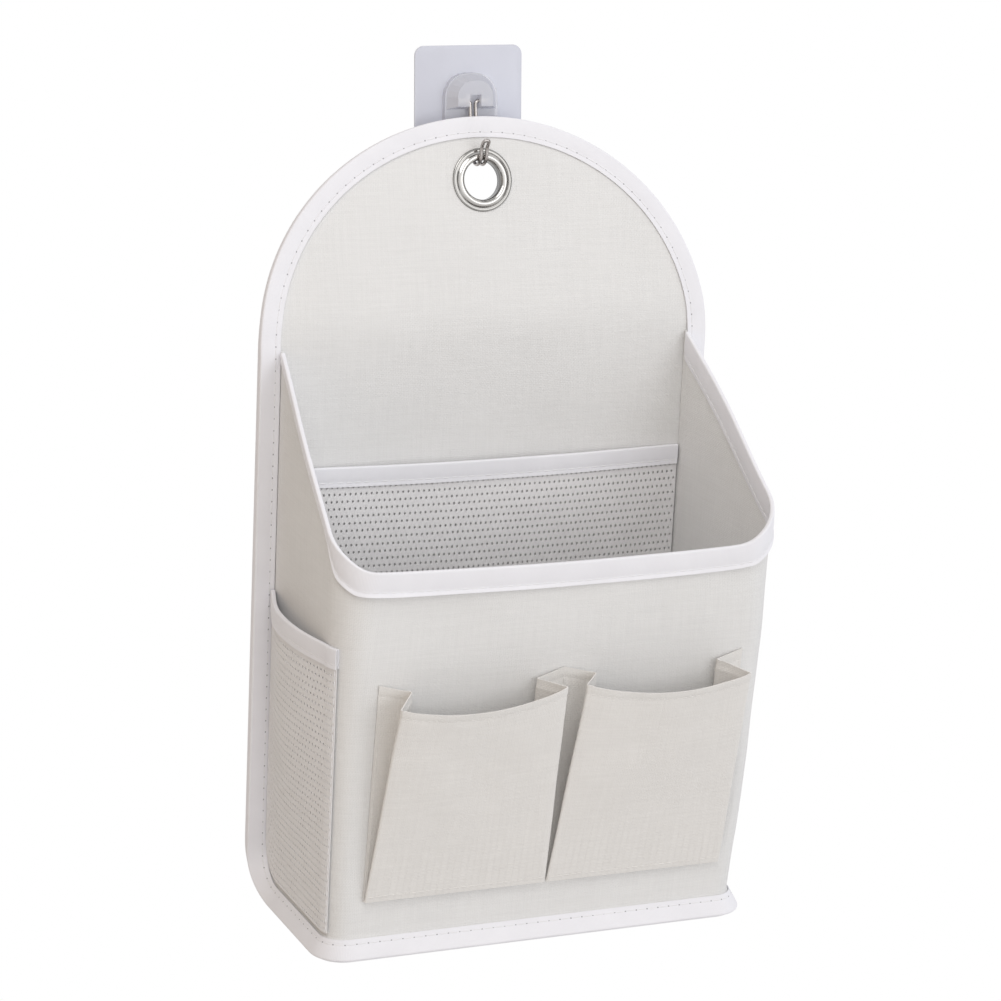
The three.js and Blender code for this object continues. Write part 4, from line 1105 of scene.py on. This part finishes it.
inner_tape_cut = net_tape_cut(inner_net_point, 2 * INNER_HALF, INNER_HEIGHT, INNER_BAND,
                              lambda x: OUTWARD, 90, (0, 26, 3.9))
inner_tape = make("inner_net_tape", inner_tape_cut, TAPE_WHITE, thickness=TAPE, crisp=60)
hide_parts("inner_mesh_binding")

side_tapes = []
for side, hand in (("left", -1), ("right", 1)):
    cut = net_tape_cut(side_net(hand), SIDE_WIDE[hand], SIDE_HIGH, SIDE_BAND, side_outward(hand),
                       50, (5, 21, 1.9))
    item = make(f"{side}_net_tape", cut, TAPE_WHITE, thickness=TAPE, crisp=60)
    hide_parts(f"{side}_mesh_binding")
    side_tapes.append(item)
print("net tapes made:", inner_tape.name, [item.name for item in side_tapes])

# %% [markdown]
# ## The front pockets
#
# Both front pockets come from one strip. At each side of a pocket the strip is folded into a
# pleat: it runs in along the wall, turns back, and comes out to the pocket's front corner. At the
# foot all layers are sewn flat, and at the mouth they stand open. A pocket could be a box with
# a lid missing, but it is these gussets that make it look sewn, so the whole plan of the strip is
# drawn at the foot and at the mouth, and every row in between is a mix of the two.

# %% Plan the pleats
STRIP_HALF, STRIP_FOOT, STRIP_HEIGHT = 88, 18, 102
PLEAT, MOUTH, MOUTH_SWELL, MOUTH_INSET, PLEAT_GAP = 14, 16.5, 3.5, 5, 0.35
STRIP_SHIFT, LEFT_RISE, RIGHT_RISE, OUTER_INSET = 2, 2.4, 4.6, 3  # the sewing is a little uneven
LAYER, NEAR_WALL = CLOTH + PLEAT_GAP, PLY_GAP + CLOTH / 2
INNER_DROP, LEFT_DROP, RIGHT_DROP, FACE_DROP = 3.2, 6.8, 4.2, 5.2
FACE_STEPS, FOLD_STEPS = 26, 2
GUSSET_POINTS = 7  # as many as the gusset's line below has
GUSSET_COLUMNS = (GUSSET_POINTS - 1) * (FOLD_STEPS + 1)


def pocket_plan(share):
    """One pocket at a share of its height: x, distance off the wall, and drop of each point."""
    left, top = -STRIP_HALF, NEAR_WALL + 2 * LAYER
    fold, corner = left + PLEAT, left + MOUTH_INSET
    gusset = (
        ((left, NEAR_WALL), (left, NEAR_WALL), "seam"),
        ((fold, NEAR_WALL), (fold - 2.5, NEAR_WALL + 1.2 * LAYER), "fold"),
        ((fold + LAYER / 2, NEAR_WALL + LAYER / 2),
         (fold + LAYER, NEAR_WALL + 3.6 * LAYER), "fold"),
        ((fold, NEAR_WALL + LAYER), (fold - 1.2, NEAR_WALL + 7.2 * LAYER), "fold"),
        ((left + LAYER, NEAR_WALL + LAYER), (corner, MOUTH - LAYER), "corner"),
        ((left + LAYER / 2, top - LAYER / 2), (corner, MOUTH), "corner"),
        ((left + LAYER, top), (corner + LAYER, MOUTH + LAYER / 2), "corner"),
    )

    def turned(point, other_side):
        return (-STRIP_HALF - point[0], point[1]) if other_side else point

    def side(other_side):
        drops = {"seam": 0, "fold": INNER_DROP, "corner": RIGHT_DROP if other_side else LEFT_DROP}
        line = []
        for foot, mouth, kind in gusset:
            foot, mouth = turned(foot, other_side), turned(mouth, other_side)
            x, off = mix(foot[0], mouth[0], share), mix(foot[1], mouth[1], share)
            line.append((x, off, drops[kind] * share**3))
        return line

    one, two = side(False), side(True)[::-1]
    face = []
    for t in shares(FACE_STEPS)[1:-1]:
        out = mix(top, MOUTH + LAYER / 2 + (MOUTH_SWELL - LAYER / 2) * sin(pi * t) ** 0.6, share)
        drop = (mix(LEFT_DROP, RIGHT_DROP, t) + FACE_DROP * sin(pi * t) ** 0.8) * share**3
        face.append((mix(one[-1][0], two[0][0], t), out, drop))
    return one + face + two


def strip_plan(share):
    """The whole strip's line, from the left seam to the right one, with its folds rounded."""
    pocket = [Vector(place) for place in pocket_plan(share)]
    line, front = [pocket[0]], (GUSSET_POINTS - 2, len(pocket) - GUSSET_POINTS + 1)
    for k in range(1, len(pocket) - 1):
        wide = 0.5 + (4.5 if min(abs(k - at) for at in front) <= 1 else 2.5) * smooth(share)
        line += soft_corner(*pocket[k - 1:k + 2], wide, 0.48, FOLD_STEPS)
    line.append(pocket[-1])
    line += [Vector((-p.x, p.y, p.z)) for p in line[-2::-1]]
    for p in line:
        across = (p.x + STRIP_HALF) / (2 * STRIP_HALF)
        p.x += STRIP_SHIFT + OUTER_INSET * share * max(across - 0.9, 0) * 10 * (p.y > LAYER * 3)
        p.z -= mix(LEFT_RISE, RIGHT_RISE, across) * share**3
    return line


print("points along the strip:", len(strip_plan(0.5)))

# %% [markdown]
# ## The strip on the wall
#
# The top edge is hemmed: the cloth is turned over once and stitched, so its last four millimetres
# are a little thicker, with a groove under them. The foot is sewn through all the layers of the
# pleats. Rows are closer together near both seams, so that these small steps stay crisp.

# %% Fold the strip
HEM, FOOT_SEAM = 4.2, 2.6


def strip_rows():
    marks = (0, 1.2, FOOT_SEAM - 0.5, FOOT_SEAM, FOOT_SEAM + 0.5, 4.5, 7)
    top = (HEM + 1.6, HEM + 0.6, HEM, HEM - 0.6, 1.6, 0.5, 0)
    middle = [mix(7, STRIP_HEIGHT - HEM - 1.6, t) for t in shares(34)[1:-1]]
    return [h / STRIP_HEIGHT for h in [*marks, *middle, *(STRIP_HEIGHT - d for d in top)]]


def hem_step(height):
    """A groove along the hem's stitches, and a thicker hem above them."""
    above = height - STRIP_HEIGHT + HEM
    return 0.16 * smooth(above / 0.8) - 0.14 * max(0, 1 - abs(above) / 1.1)


STRIP_PLANS = {share: strip_plan(share) for share in strip_rows()}
FOLD_RUN = [0.0]  # along the folded line as it is seen from above, halfway up
for one, two in zip(strip_plan(0.5), strip_plan(0.5)[1:]):
    FOLD_RUN.append(FOLD_RUN[-1] + hypot(two.x - one.x, two.y - one.y))


def on_strip(share, column, out=0.0):
    plan = STRIP_PLANS.get(share) or strip_plan(share)
    here = plan[column]
    way = plan[min(column + 1, len(plan) - 1)] - plan[max(column - 1, 0)]
    across = Vector((-way.y, way.x)).normalized()
    height = share * STRIP_HEIGHT
    loose = smooth(share * 1.4) * smooth((here.y - 2.2) / 5)
    soft = loose * 0.9 * (wobble(here.x, height, 30, 12.5) + 0.4 * wobble(here.x, height, 12, 2.5))
    out += hem_step(height)
    z = STRIP_FOOT + height - here.z
    y = wall_point(U_END / 2, z).y - CLOTH - (here.y + across.y * out) - soft
    return Vector((here.x + across.x * out, y, z))


strip_cut = Cut().grid(
    strip_rows(), range(len(FOLD_RUN)),
    lambda share, column: (on_strip(share, column), (FOLD_RUN[column], share * STRIP_HEIGHT)),
)
strip = make("pocket_strip", strip_cut, POCKET_LINEN, thickness=CLOTH, crisp=50)
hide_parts("front_pocket_strip")
print("pocket strip faces", len(strip.data.polygons))

# %% [markdown]
# ## The eyelet
#
# An eyelet is two rings: the front one has a barrel that goes through the punched hole and is
# rolled over the washer behind. A ring can be turned from its section like work on a lathe, and
# for that the section has to be right: a domed crown, a groove and a flat rim outside it, and a
# thin roll into the hole. Its reflections come from this curve, and its finish adds painted shade
# close to the cloth. The places of a section are radius and height over the panel's inner face.

# %% Turn the eyelet and its washer
BORE, BARREL, EYELET_OUTER, CROWN, WASHER_FACE = 9, 0.7, 14.5, 2.3, 2.65
WASHER_BACK = -WASHER_FACE - 0.6
BORE_BACK = WASHER_BACK - PLY_GAP
ROLLED_OUT = 11.6  # radius out to which the barrel is rolled over behind
ROUND_STEPS = 96


def turned_ring(name, outline, material, node, radius):
    line = rounded(outline + [outline[0]], radius, 4)

    def on_ring(share, column):
        (r, n), turn = line[column], share * 2 * pi
        return panel_point(r * cos(turn), EYELET_S + r * sin(turn), n), (r * turn, n)

    cut = Cut().grid(shares(ROUND_STEPS), range(len(line)), on_ring)
    item = make(name, cut, material, weld=0.002, crisp=50)
    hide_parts(node)
    return item


outside = BORE + BARREL
eyelet = turned_ring("eyelet_ring", [
    (BORE, BORE_BACK), (BORE, 0.9), (outside, CROWN - BARREL / 2), (11, CROWN), (12.3, 1.7),
    (12.9, 1.0), (13.6, 1.15), (EYELET_OUTER, 0.85), (EYELET_OUTER, PLY_GAP), (outside, PLY_GAP),
    (outside, BORE_BACK), (ROLLED_OUT, BORE_BACK), (ROLLED_OUT, BORE_BACK - 0.7),
    (outside, BORE_BACK - 0.93),
], NICKEL, "eyelet_front", 0.6)
washer = turned_ring("eyelet_back", [
    (outside + PLY_GAP, -WASHER_FACE), (14, -WASHER_FACE), (14, -WASHER_FACE - 0.3),
    (13, WASHER_BACK), (outside + PLY_GAP, WASHER_BACK),
], WASHER_NICKEL, "eyelet_washer", 0.25)
print("eyelet", len(eyelet.data.polygons), "washer", len(washer.data.polygons), "faces")

# %% [markdown]
# ## The wire
#
# The hook is one wire bent double. Its ends turn out as two pins in the clear boss, its two
# strands come down side by side, and the fold is the tip. The centre line is made of the same
# arcs as the solid, so the wire lies exactly where the hook's own hinge turns it.

# %% Bend the wire
WIRE_RADIUS, WIRE_DRAWN, STRAND, PROUD, RISE, PIN, ELBOW = 0.95, 0.82, 1.35, 7, 1.5, 6.8, 1.5
HOOK_BEND, TIP_RISE, TIP_LEAN = 5.5, 5, 2.4
BEND_LOW = RISE - 28.4


def turns(angle, steps):
    return [angle * t for t in shares(steps)[1:]]


def wire_line():
    """Half the wire from its pin to the tip, and its mirror image back."""
    low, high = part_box("wire_hook")
    bend_y = low.y / MM + HOOK_BEND + WIRE_RADIUS
    bend_z, tip_y = BEND_LOW + HOOK_BEND, bend_y - HOOK_BEND
    tip_z = bend_z + TIP_RISE
    knee = Vector((STRAND + ELBOW, -PROUD, RISE - ELBOW))
    line = [Vector((mix(PIN, knee.x, t), -PROUD, RISE)) for t in shares(5)]
    line += [knee + Vector((-ELBOW * sin(a), 0, ELBOW * cos(a))) for a in turns(pi / 2, 8)]
    start, end = Vector((STRAND, -PROUD, knee.z)), Vector((STRAND, bend_y + HOOK_BEND, bend_z))
    slack = Vector((0, 0, (start.z - end.z) / 3))
    for t in turns(1, 24):
        points = (start, start - slack, end + slack, end)
        weights = ((1 - t) ** 3, 3 * t * (1 - t) ** 2, 3 * t * t * (1 - t), t**3)
        line.append(sum((p * w for p, w in zip(points, weights)), Vector()))
    for a in turns(pi, 24):
        line.append(Vector((STRAND, bend_y + HOOK_BEND * cos(a), bend_z - HOOK_BEND * sin(a))))
    for t in turns(1, 6):
        line.append(Vector((STRAND, tip_y - TIP_LEAN * t * t, mix(bend_z, tip_z, t))))
    for a in turns(pi / 2, 8):
        y, z = tip_y - TIP_LEAN - sin(a), tip_z + STRAND * sin(a) * 0.8
        line.append(Vector((STRAND * cos(a), y, z)))
    return line + [Vector((-p.x, p.y, p.z)) for p in line[-2::-1]]


def tube_cut(line, radius, sides):
    """A round tube along a line, closed at both ends, with as little twist as possible."""
    rings, aside = [], Vector((0, 1, 0))
    for k, (here, run) in enumerate(zip(line, runs_of(line))):
        way = (line[min(k + 1, len(line) - 1)] - line[max(k - 1, 0)]).normalized()
        aside = (aside - way * aside.dot(way)).normalized()
        other = way.cross(aside)
        rings.append([(here + (aside * cos(a) + other * sin(a)) * radius, (radius * a, run))
                      for a in (2 * pi * j / sides for j in range(sides))])
    return Cut().skin(rings)


wire = make("wire", tube_cut(wire_line(), WIRE_DRAWN, 16), WIRE_METAL, "wire_hook",
            place=from_wall, weld=0.001, crisp=60)
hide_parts("wire_hook")
print("wire faces", len(wire.data.polygons))

# %% [markdown]
# ## The clear hook
#
# The plate is a thin square of clear plastic with round corners and softened edges. The boss and
# the film behind the plate keep their solid shapes, whose flat facets are what the light catches,
# and only take a new finish. The card boards inside the panel also stay, out of sight.

# %% Make the clear plate and dress what stays
PLATE, PLATE_CORNER, PLATE_BACK, PLATE_FRONT, EDGE = 53, 4.5, -0.7, -1.9, 0.3
EDGE_MIDDLE = EDGE * 0.3  # the softened edge has one more line of points, this far in


def square_ring(inset, y):
    corner = PLATE_CORNER - inset
    middle, ring = PLATE / 2 - inset - corner, []
    for quarter, (sx, sz) in enumerate(((1, 1), (-1, 1), (-1, -1), (1, -1))):
        for t in shares(8):
            turn = (quarter + t) * pi / 2
            x, z = sx * middle + corner * cos(turn), sz * middle + corner * sin(turn)
            ring.append((Vector((x, y, z)), (x, z)))
    return ring


levels = ((EDGE, PLATE_BACK), (EDGE_MIDDLE, PLATE_BACK - EDGE_MIDDLE), (0, PLATE_BACK - EDGE),
          (0, PLATE_FRONT + EDGE), (EDGE_MIDDLE, PLATE_FRONT + EDGE_MIDDLE), (EDGE, PLATE_FRONT))
plate = make("clear_plate", Cut().skin([square_ring(*level) for level in levels]), CLEAR,
             "wall_hook", place=from_wall, weld=0.001)
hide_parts("hook_plate")

for node, material in (("hook_boss", BOSS_CLEAR), ("adhesive_pad", FILM), ("back_board", CARD),
                       ("base_board", CARD)):
    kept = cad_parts[node]
    kept.data.materials.clear()
    kept.data.materials.append(material)
print("plate faces", len(plate.data.polygons), "and four solids dressed")

# %% [markdown]
# ## Stitches
#
# A lockstitch is a row of short threads that dip into a hole between one and the next. The
# stitches could be a bump in the tape's finish, but at the edge of the tape they would not
# stand out. Each is a small lens of thread on the surface, and each hole is a small flat disc
# whose dark grey is painted shade in the hole.

# %% Needle and thread
STITCH, NET_STITCH, STRIP_STITCH = 5.5, 4.2, 3.4
THREAD_HALF, THREAD_HIGH, THREAD_STEPS, THREAD_ACROSS = 0.24, 0.14, 5, 4
HOLE_LONG, HOLE_BROAD, HOLE_SIDES = 0.42, 0.36, 8


def stance(at, run):
    """A place on a line of stitches: the point, and the ways out, along and aside."""
    here, out = at(run)
    way = (at(run + 0.3)[0] - here).normalized()
    return here, out, way, way.cross(out).normalized()


class Sewing:
    """Threads and needle holes along lines, collected into one object each."""

    def __init__(self):
        self.thread, self.holes = Cut(), Cut()

    def line(self, at, length, pitch=STITCH, holes=False):
        """at(run) gives a point and the way out of the cloth there."""
        count = max(1, round(length / pitch))
        step = length / count
        for k in range(count):
            self.one(at, (k + 0.08) * step, (k + 0.92) * step)
            if holes:
                self.hole(at, k * step)

    def one(self, at, start, end):
        cut, wide = self.thread, THREAD_ACROSS + 1
        base = len(cut.points)
        for t in shares(THREAD_STEPS):
            run = mix(start, end, t)
            here, out, way, aside = stance(at, run)
            size = sin(pi * mix(0.06, 0.94, t)) ** 0.5
            for turn in (pi * share for share in shares(THREAD_ACROSS)):
                lift = sin(turn) * THREAD_HIGH * size * 2 - 0.06
                cut.points.append(here + aside * cos(turn) * THREAD_HALF * size + out * lift)
                cut.flat.append((turn * THREAD_HALF, run))
        for i in range(THREAD_STEPS):
            for a in range(base + i * wide, base + i * wide + THREAD_ACROSS):
                cut.faces.append((a, a + 1, a + 1 + wide, a + wide))

    # a needle hole is a flat disc just over the tape; its dark finish is painted shade
    def hole(self, at, run):
        here, out, way, aside = stance(at, run)
        base = len(self.holes.points)
        for turn in (2 * pi * k / HOLE_SIDES for k in range(HOLE_SIDES)):
            point = here + way * cos(turn) * HOLE_LONG + aside * sin(turn) * HOLE_BROAD
            self.holes.points.append(point + out * 0.03)
            self.holes.flat.append((cos(turn) * 0.4, sin(turn) * 0.4))
        self.holes.faces.append(tuple(range(base, base + HOLE_SIDES)))


def along(points, outs):
    """A function of run over a dense line of points with their outward ways, and its length."""
    runs = runs_of(points)

    def at(run):
        run = min(max(run, 0), runs[-1] - 1e-6)
        k = max(0, int(np.searchsorted(runs, run, "right")) - 1)
        k = min(k, len(points) - 2)
        t = (run - runs[k]) / max(runs[k + 1] - runs[k], 1e-9)
        return points[k].lerp(points[k + 1], t), outs[k].lerp(outs[k + 1], t).normalized()

    return at, runs[-1]


def facing_out(points):
    return along(points, [OUTWARD] * len(points))


print("one stitch has", THREAD_STEPS * THREAD_ACROSS, "faces")

# %% [markdown]
# ## The seams
#
# The seam binding is sewn with long stitches that show on both faces, the rim and the nets with
# shorter ones, and the pocket strip with the shortest, in thread of its own cream. Each line of
# stitches is found from the same surface as the cloth below it, so none floats or sinks.

# %% Sew
SINK = 0.1  # how deep a thread lies in its tape
NET_TAPE_FACE, STRIP_FACE = 0.97, 0.28  # from the cloth's middle to the thread on its face
SEAM_IN = 1.3  # from a net's or a strip's edge to the stitches along it

tape_sewing, strip_sewing, net_sewing = Sewing(), Sewing(), Sewing()

ring = SEAM + [SEAM[0]]
front_line = [s.placed(SEAM_START + STITCH_IN, seam_high(s.s) + TAPE - SINK) for s in ring]
tape_sewing.line(*along(front_line, [s.across for s in ring]), holes=True)
back_a = [max(SEAM_START + STITCH_IN, -TAPE_LOW * tan(s.fold / 2) + 1.6) for s in ring]
back_line = [s.placed(a, TAPE_LOW - TAPE + SINK) for s, a in zip(ring, back_a)]
tape_sewing.line(*along(back_line, [-s.across for s in ring]), holes=True)

for way in (1, -1):
    points, outs = [], []
    for u in RIM_U:
        top, rise, across, reach = rim_frame(u)
        wide = reach * (outer_share(u) if way > 0 else 1)
        down = wide - min(EDGE_STITCH_IN, wide * STITCH_SHARE)
        points.append(top - rise * down + across * way * (CLOTH / 2 + TAPE_OVER - SINK))
        outs.append(across * way)
    tape_sewing.line(*along(points, outs), NET_STITCH)


def sew_net_tape(point_at, across_at, places, high, way=1):
    """One line of stitches on a face of the tape over a net."""
    y, outs = high - POCKET_TAPE_WIDTH + EDGE_STITCH_IN, [across_at(x) * way for x in places]
    points = [point_at(x, y) + out * NET_TAPE_FACE for x, out in zip(places, outs)]
    net_sewing.line(*along(points, outs), NET_STITCH)


inner_places = [2 * INNER_HALF * t for t in shares(90)]
for way in (1, -1):
    sew_net_tape(inner_net_point, lambda x: OUTWARD, inner_places, INNER_HEIGHT, way)
foot_s, foot_n = INNER_FOOT + 1.2, NET_LIFT + NET + 0.02
foot = [panel_point(x - INNER_HALF, foot_s, foot_n) for x in inner_places]
net_sewing.line(*facing_out(foot), NET_STITCH)
for hand in (-1, 1):
    wide, outward = SIDE_WIDE[hand], side_outward(hand)
    sew_net_tape(side_net(hand), outward, [wide * t for t in shares(50)], SIDE_HIGH)
    heights = [mix(3, SIDE_HIGH - 9, t) for t in shares(40)]
    edge = [side_net_point(wide - SEAM_IN, z, 0.3, hand) for z in heights]
    net_sewing.line(*along(edge, [outward(wide)] * len(edge)), NET_STITCH)

per_pocket = (len(FOLD_RUN) - 1) // 2
for first in (0, per_pocket):
    face = range(first + GUSSET_COLUMNS, first + per_pocket - GUSSET_COLUMNS + 1)
    for height in (STRIP_HEIGHT - HEM, FOOT_SEAM):
        points = [on_strip(height / STRIP_HEIGHT, column, STRIP_FACE) for column in face]
        strip_sewing.line(*facing_out(points), STRIP_STITCH)
for x, rise in ((-STRIP_HALF + SEAM_IN, LEFT_RISE), (0.0, 3.4), (STRIP_HALF - SEAM_IN, RIGHT_RISE)):
    points = []
    for share in shares(40):
        z = STRIP_FOOT + mix(2, STRIP_HEIGHT - 1.5, share) + rise * share**3
        y = wall_point(U_END / 2, z).y - CLOTH - NEAR_WALL - STRIP_FACE
        points.append(Vector((x + STRIP_SHIFT, y, z)))
    strip_sewing.line(*facing_out(points), STRIP_STITCH)

tape_thread = make("tape_stitches", tape_sewing.thread, THREAD_WHITE)
# the discs carry the painted shade of the needle holes
needle_hole_shade_discs = make("needle_hole_shade_discs", tape_sewing.holes, NEEDLE_HOLE_SHADE)
net_thread = make("net_stitches", net_sewing.thread, THREAD_WHITE)
strip_thread = make("pocket_stitches", strip_sewing.thread, POCKET_LINEN)
for name, sewing in (("tape", tape_sewing), ("net", net_sewing), ("pocket", strip_sewing)):
    print(name, "stitches:", len(sewing.thread.faces) // (THREAD_STEPS * THREAD_ACROSS))

# %% [markdown]
# ## What is cloth
#
# Each sheet of cloth prints the size and area of its flat cut, and its number of faces.

declare(panel_face, face_cut)
declare(panel_rear, rear_cut)
declare(wall, the_wall_cut)
declare(inner_net, inner_cut)
for (item, cut), tape in zip(side_nets, side_tapes):
    declare(item, cut)
declare(strip, strip_cut)

# %% [markdown]
# ## The room
#
# The bin stands before plain white, like goods cut out for a catalogue. If all that white also
# lit the bin, no side of it would be in shade. So only what the camera, the metal and the clear
# plastic see directly is white, and the cloth gets a dimmer room, brighter from the right and
# warmer from the left. The floor lies well below the hanging bin.

# %% Build the room
LEFT_LIGHT, RIGHT_LIGHT = (0.41, 0.365, 0.32), (0.83, 0.835, 0.855)
FLOOR_Z, FLOOR_RADIUS = -0.95, 1.25

scene = bpy.context.scene
scene.view_settings.view_transform = "Standard"

world = bpy.data.worlds.new("white_room")
world.use_nodes = True
scene.world = world
room = world.node_tree
rays = add(room, "ShaderNodeLightPath").socket.node.outputs
direct = Strand(rays["Is Camera Ray"])
for kind in ("Transmission", "Glossy"):
    direct = direct.math("MAXIMUM", direct, Strand(rays[f"Is {kind} Ray"]))
sides = add(room, "ShaderNodeSeparateXYZ", None, {0: add(room, "ShaderNodeTexCoord")})
indirect = blend_colours(room, sides * 0.6 + 0.5, LEFT_LIGHT, RIGHT_LIGHT)
lit = blend_colours(room, direct, indirect, (1, 1, 1))
room.links.new(lit.socket, room.nodes["Background"].inputs["Color"])


def stage_thing(name, colour, draw, **form):
    """A flat, matt thing of the stage, drawn by one of the mesh operators."""
    mesh, shape = bpy.data.meshes.new(name), bmesh.new()
    draw(shape, **form)
    shape.to_mesh(mesh)
    shape.free()
    mesh.materials.append(finish(f"{name}_grey", colour, 0.9)[0])
    item = bpy.data.objects.new(name, mesh)
    scene.collection.objects.link(item)
    return item


floor = stage_thing("floor", (0.86, 0.86, 0.855), bmesh.ops.create_circle, cap_ends=True,
                    segments=96, radius=FLOOR_RADIUS)
floor.location.z = FLOOR_Z
floor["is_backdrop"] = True
print(f"a white room, and a floor {-FLOOR_Z} m below the hook")

# %% [markdown]
# ## Lamps and grey cards
#
# White cloth needs a light that is soft and not too strong, or its weave burns out. A large lamp
# stands at the front right, a softer one beside the camera, one high on the left shines into the
# bin, and a weak warm one fills the left side. Metal in an all-white room looks like white
# paint: photographers put grey cards beside it, and so three cards stand here that only
# reflections see.

# %% Light the room
AIM, HIGH_AIM = (0, -0.05, -0.2), (0, -0.05, -0.25)
EYELET_AIM = (0, 0, -0.03)


def aim(item, place, target, front):
    """Stand a thing at its place, with its front (one of its own axes) to the target."""
    item.location, item.rotation_mode = place, "QUATERNION"
    item.rotation_quaternion = (Vector(target) - Vector(place)).to_track_quat(front, "Y")


def lamp(name, place, target, size, power, colour):
    light = bpy.data.lights.new(name, "AREA")
    light.shape, light.size, light.energy, light.color = "DISK", size, power, colour
    item = bpy.data.objects.new(name, light)
    aim(item, place, target, "-Z")
    scene.collection.objects.link(item)


def dark_flag(name, place, wide, tall):
    """A grey card that only shiny things see."""
    item = stage_thing(name, (0.12, 0.12, 0.12), bmesh.ops.create_grid, x_segments=1,
                       y_segments=1, size=0.5)
    item.scale = (wide, tall, 1)
    aim(item, place, EYELET_AIM, "Z")
    item.visible_camera = item.visible_diffuse = False
    item.visible_shadow = item.visible_transmission = False
    item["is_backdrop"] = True


lamp("key", (1.1, -2.15, 0.1), AIM, 1.5, 9, (1.0, 1.0, 1.0))
lamp("front_fill", (-0.4, -2.3, 0.1), AIM, 1.6, 3, (1.0, 1.0, 1.0))
lamp("high_left", (-0.45, -0.9, 0.85), HIGH_AIM, 0.8, 5.7, (1.0, 0.99, 0.98))
lamp("warm_fill", (-1.9, -0.5, 0.1), AIM, 1.2, 2.2, (1.0, 0.74, 0.48))
dark_flag("flag_left", (-1.5, -0.55, 0.1), 0.5, 1.6)
dark_flag("flag_right", (1.5, -0.4, 0.1), 0.5, 1.6)
dark_flag("flag_top", (0.1, -0.75, 1.25), 1.5, 0.45)
print("four lamps and three grey cards")

# %% [markdown]
# ## Measure and finish
#
# The dressed bin has to stay within the solid one. Both could be compared by eye, but a cloth that
# swells a little too far is easily missed, so the two boxes are written down.

# %% Write the sizes and finish
visual_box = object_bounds()
for name, box in (("solid", cad_box), ("dressed", visual_box)):
    print(name, [round(v, 4) for v in (*box[0], *box[1])])
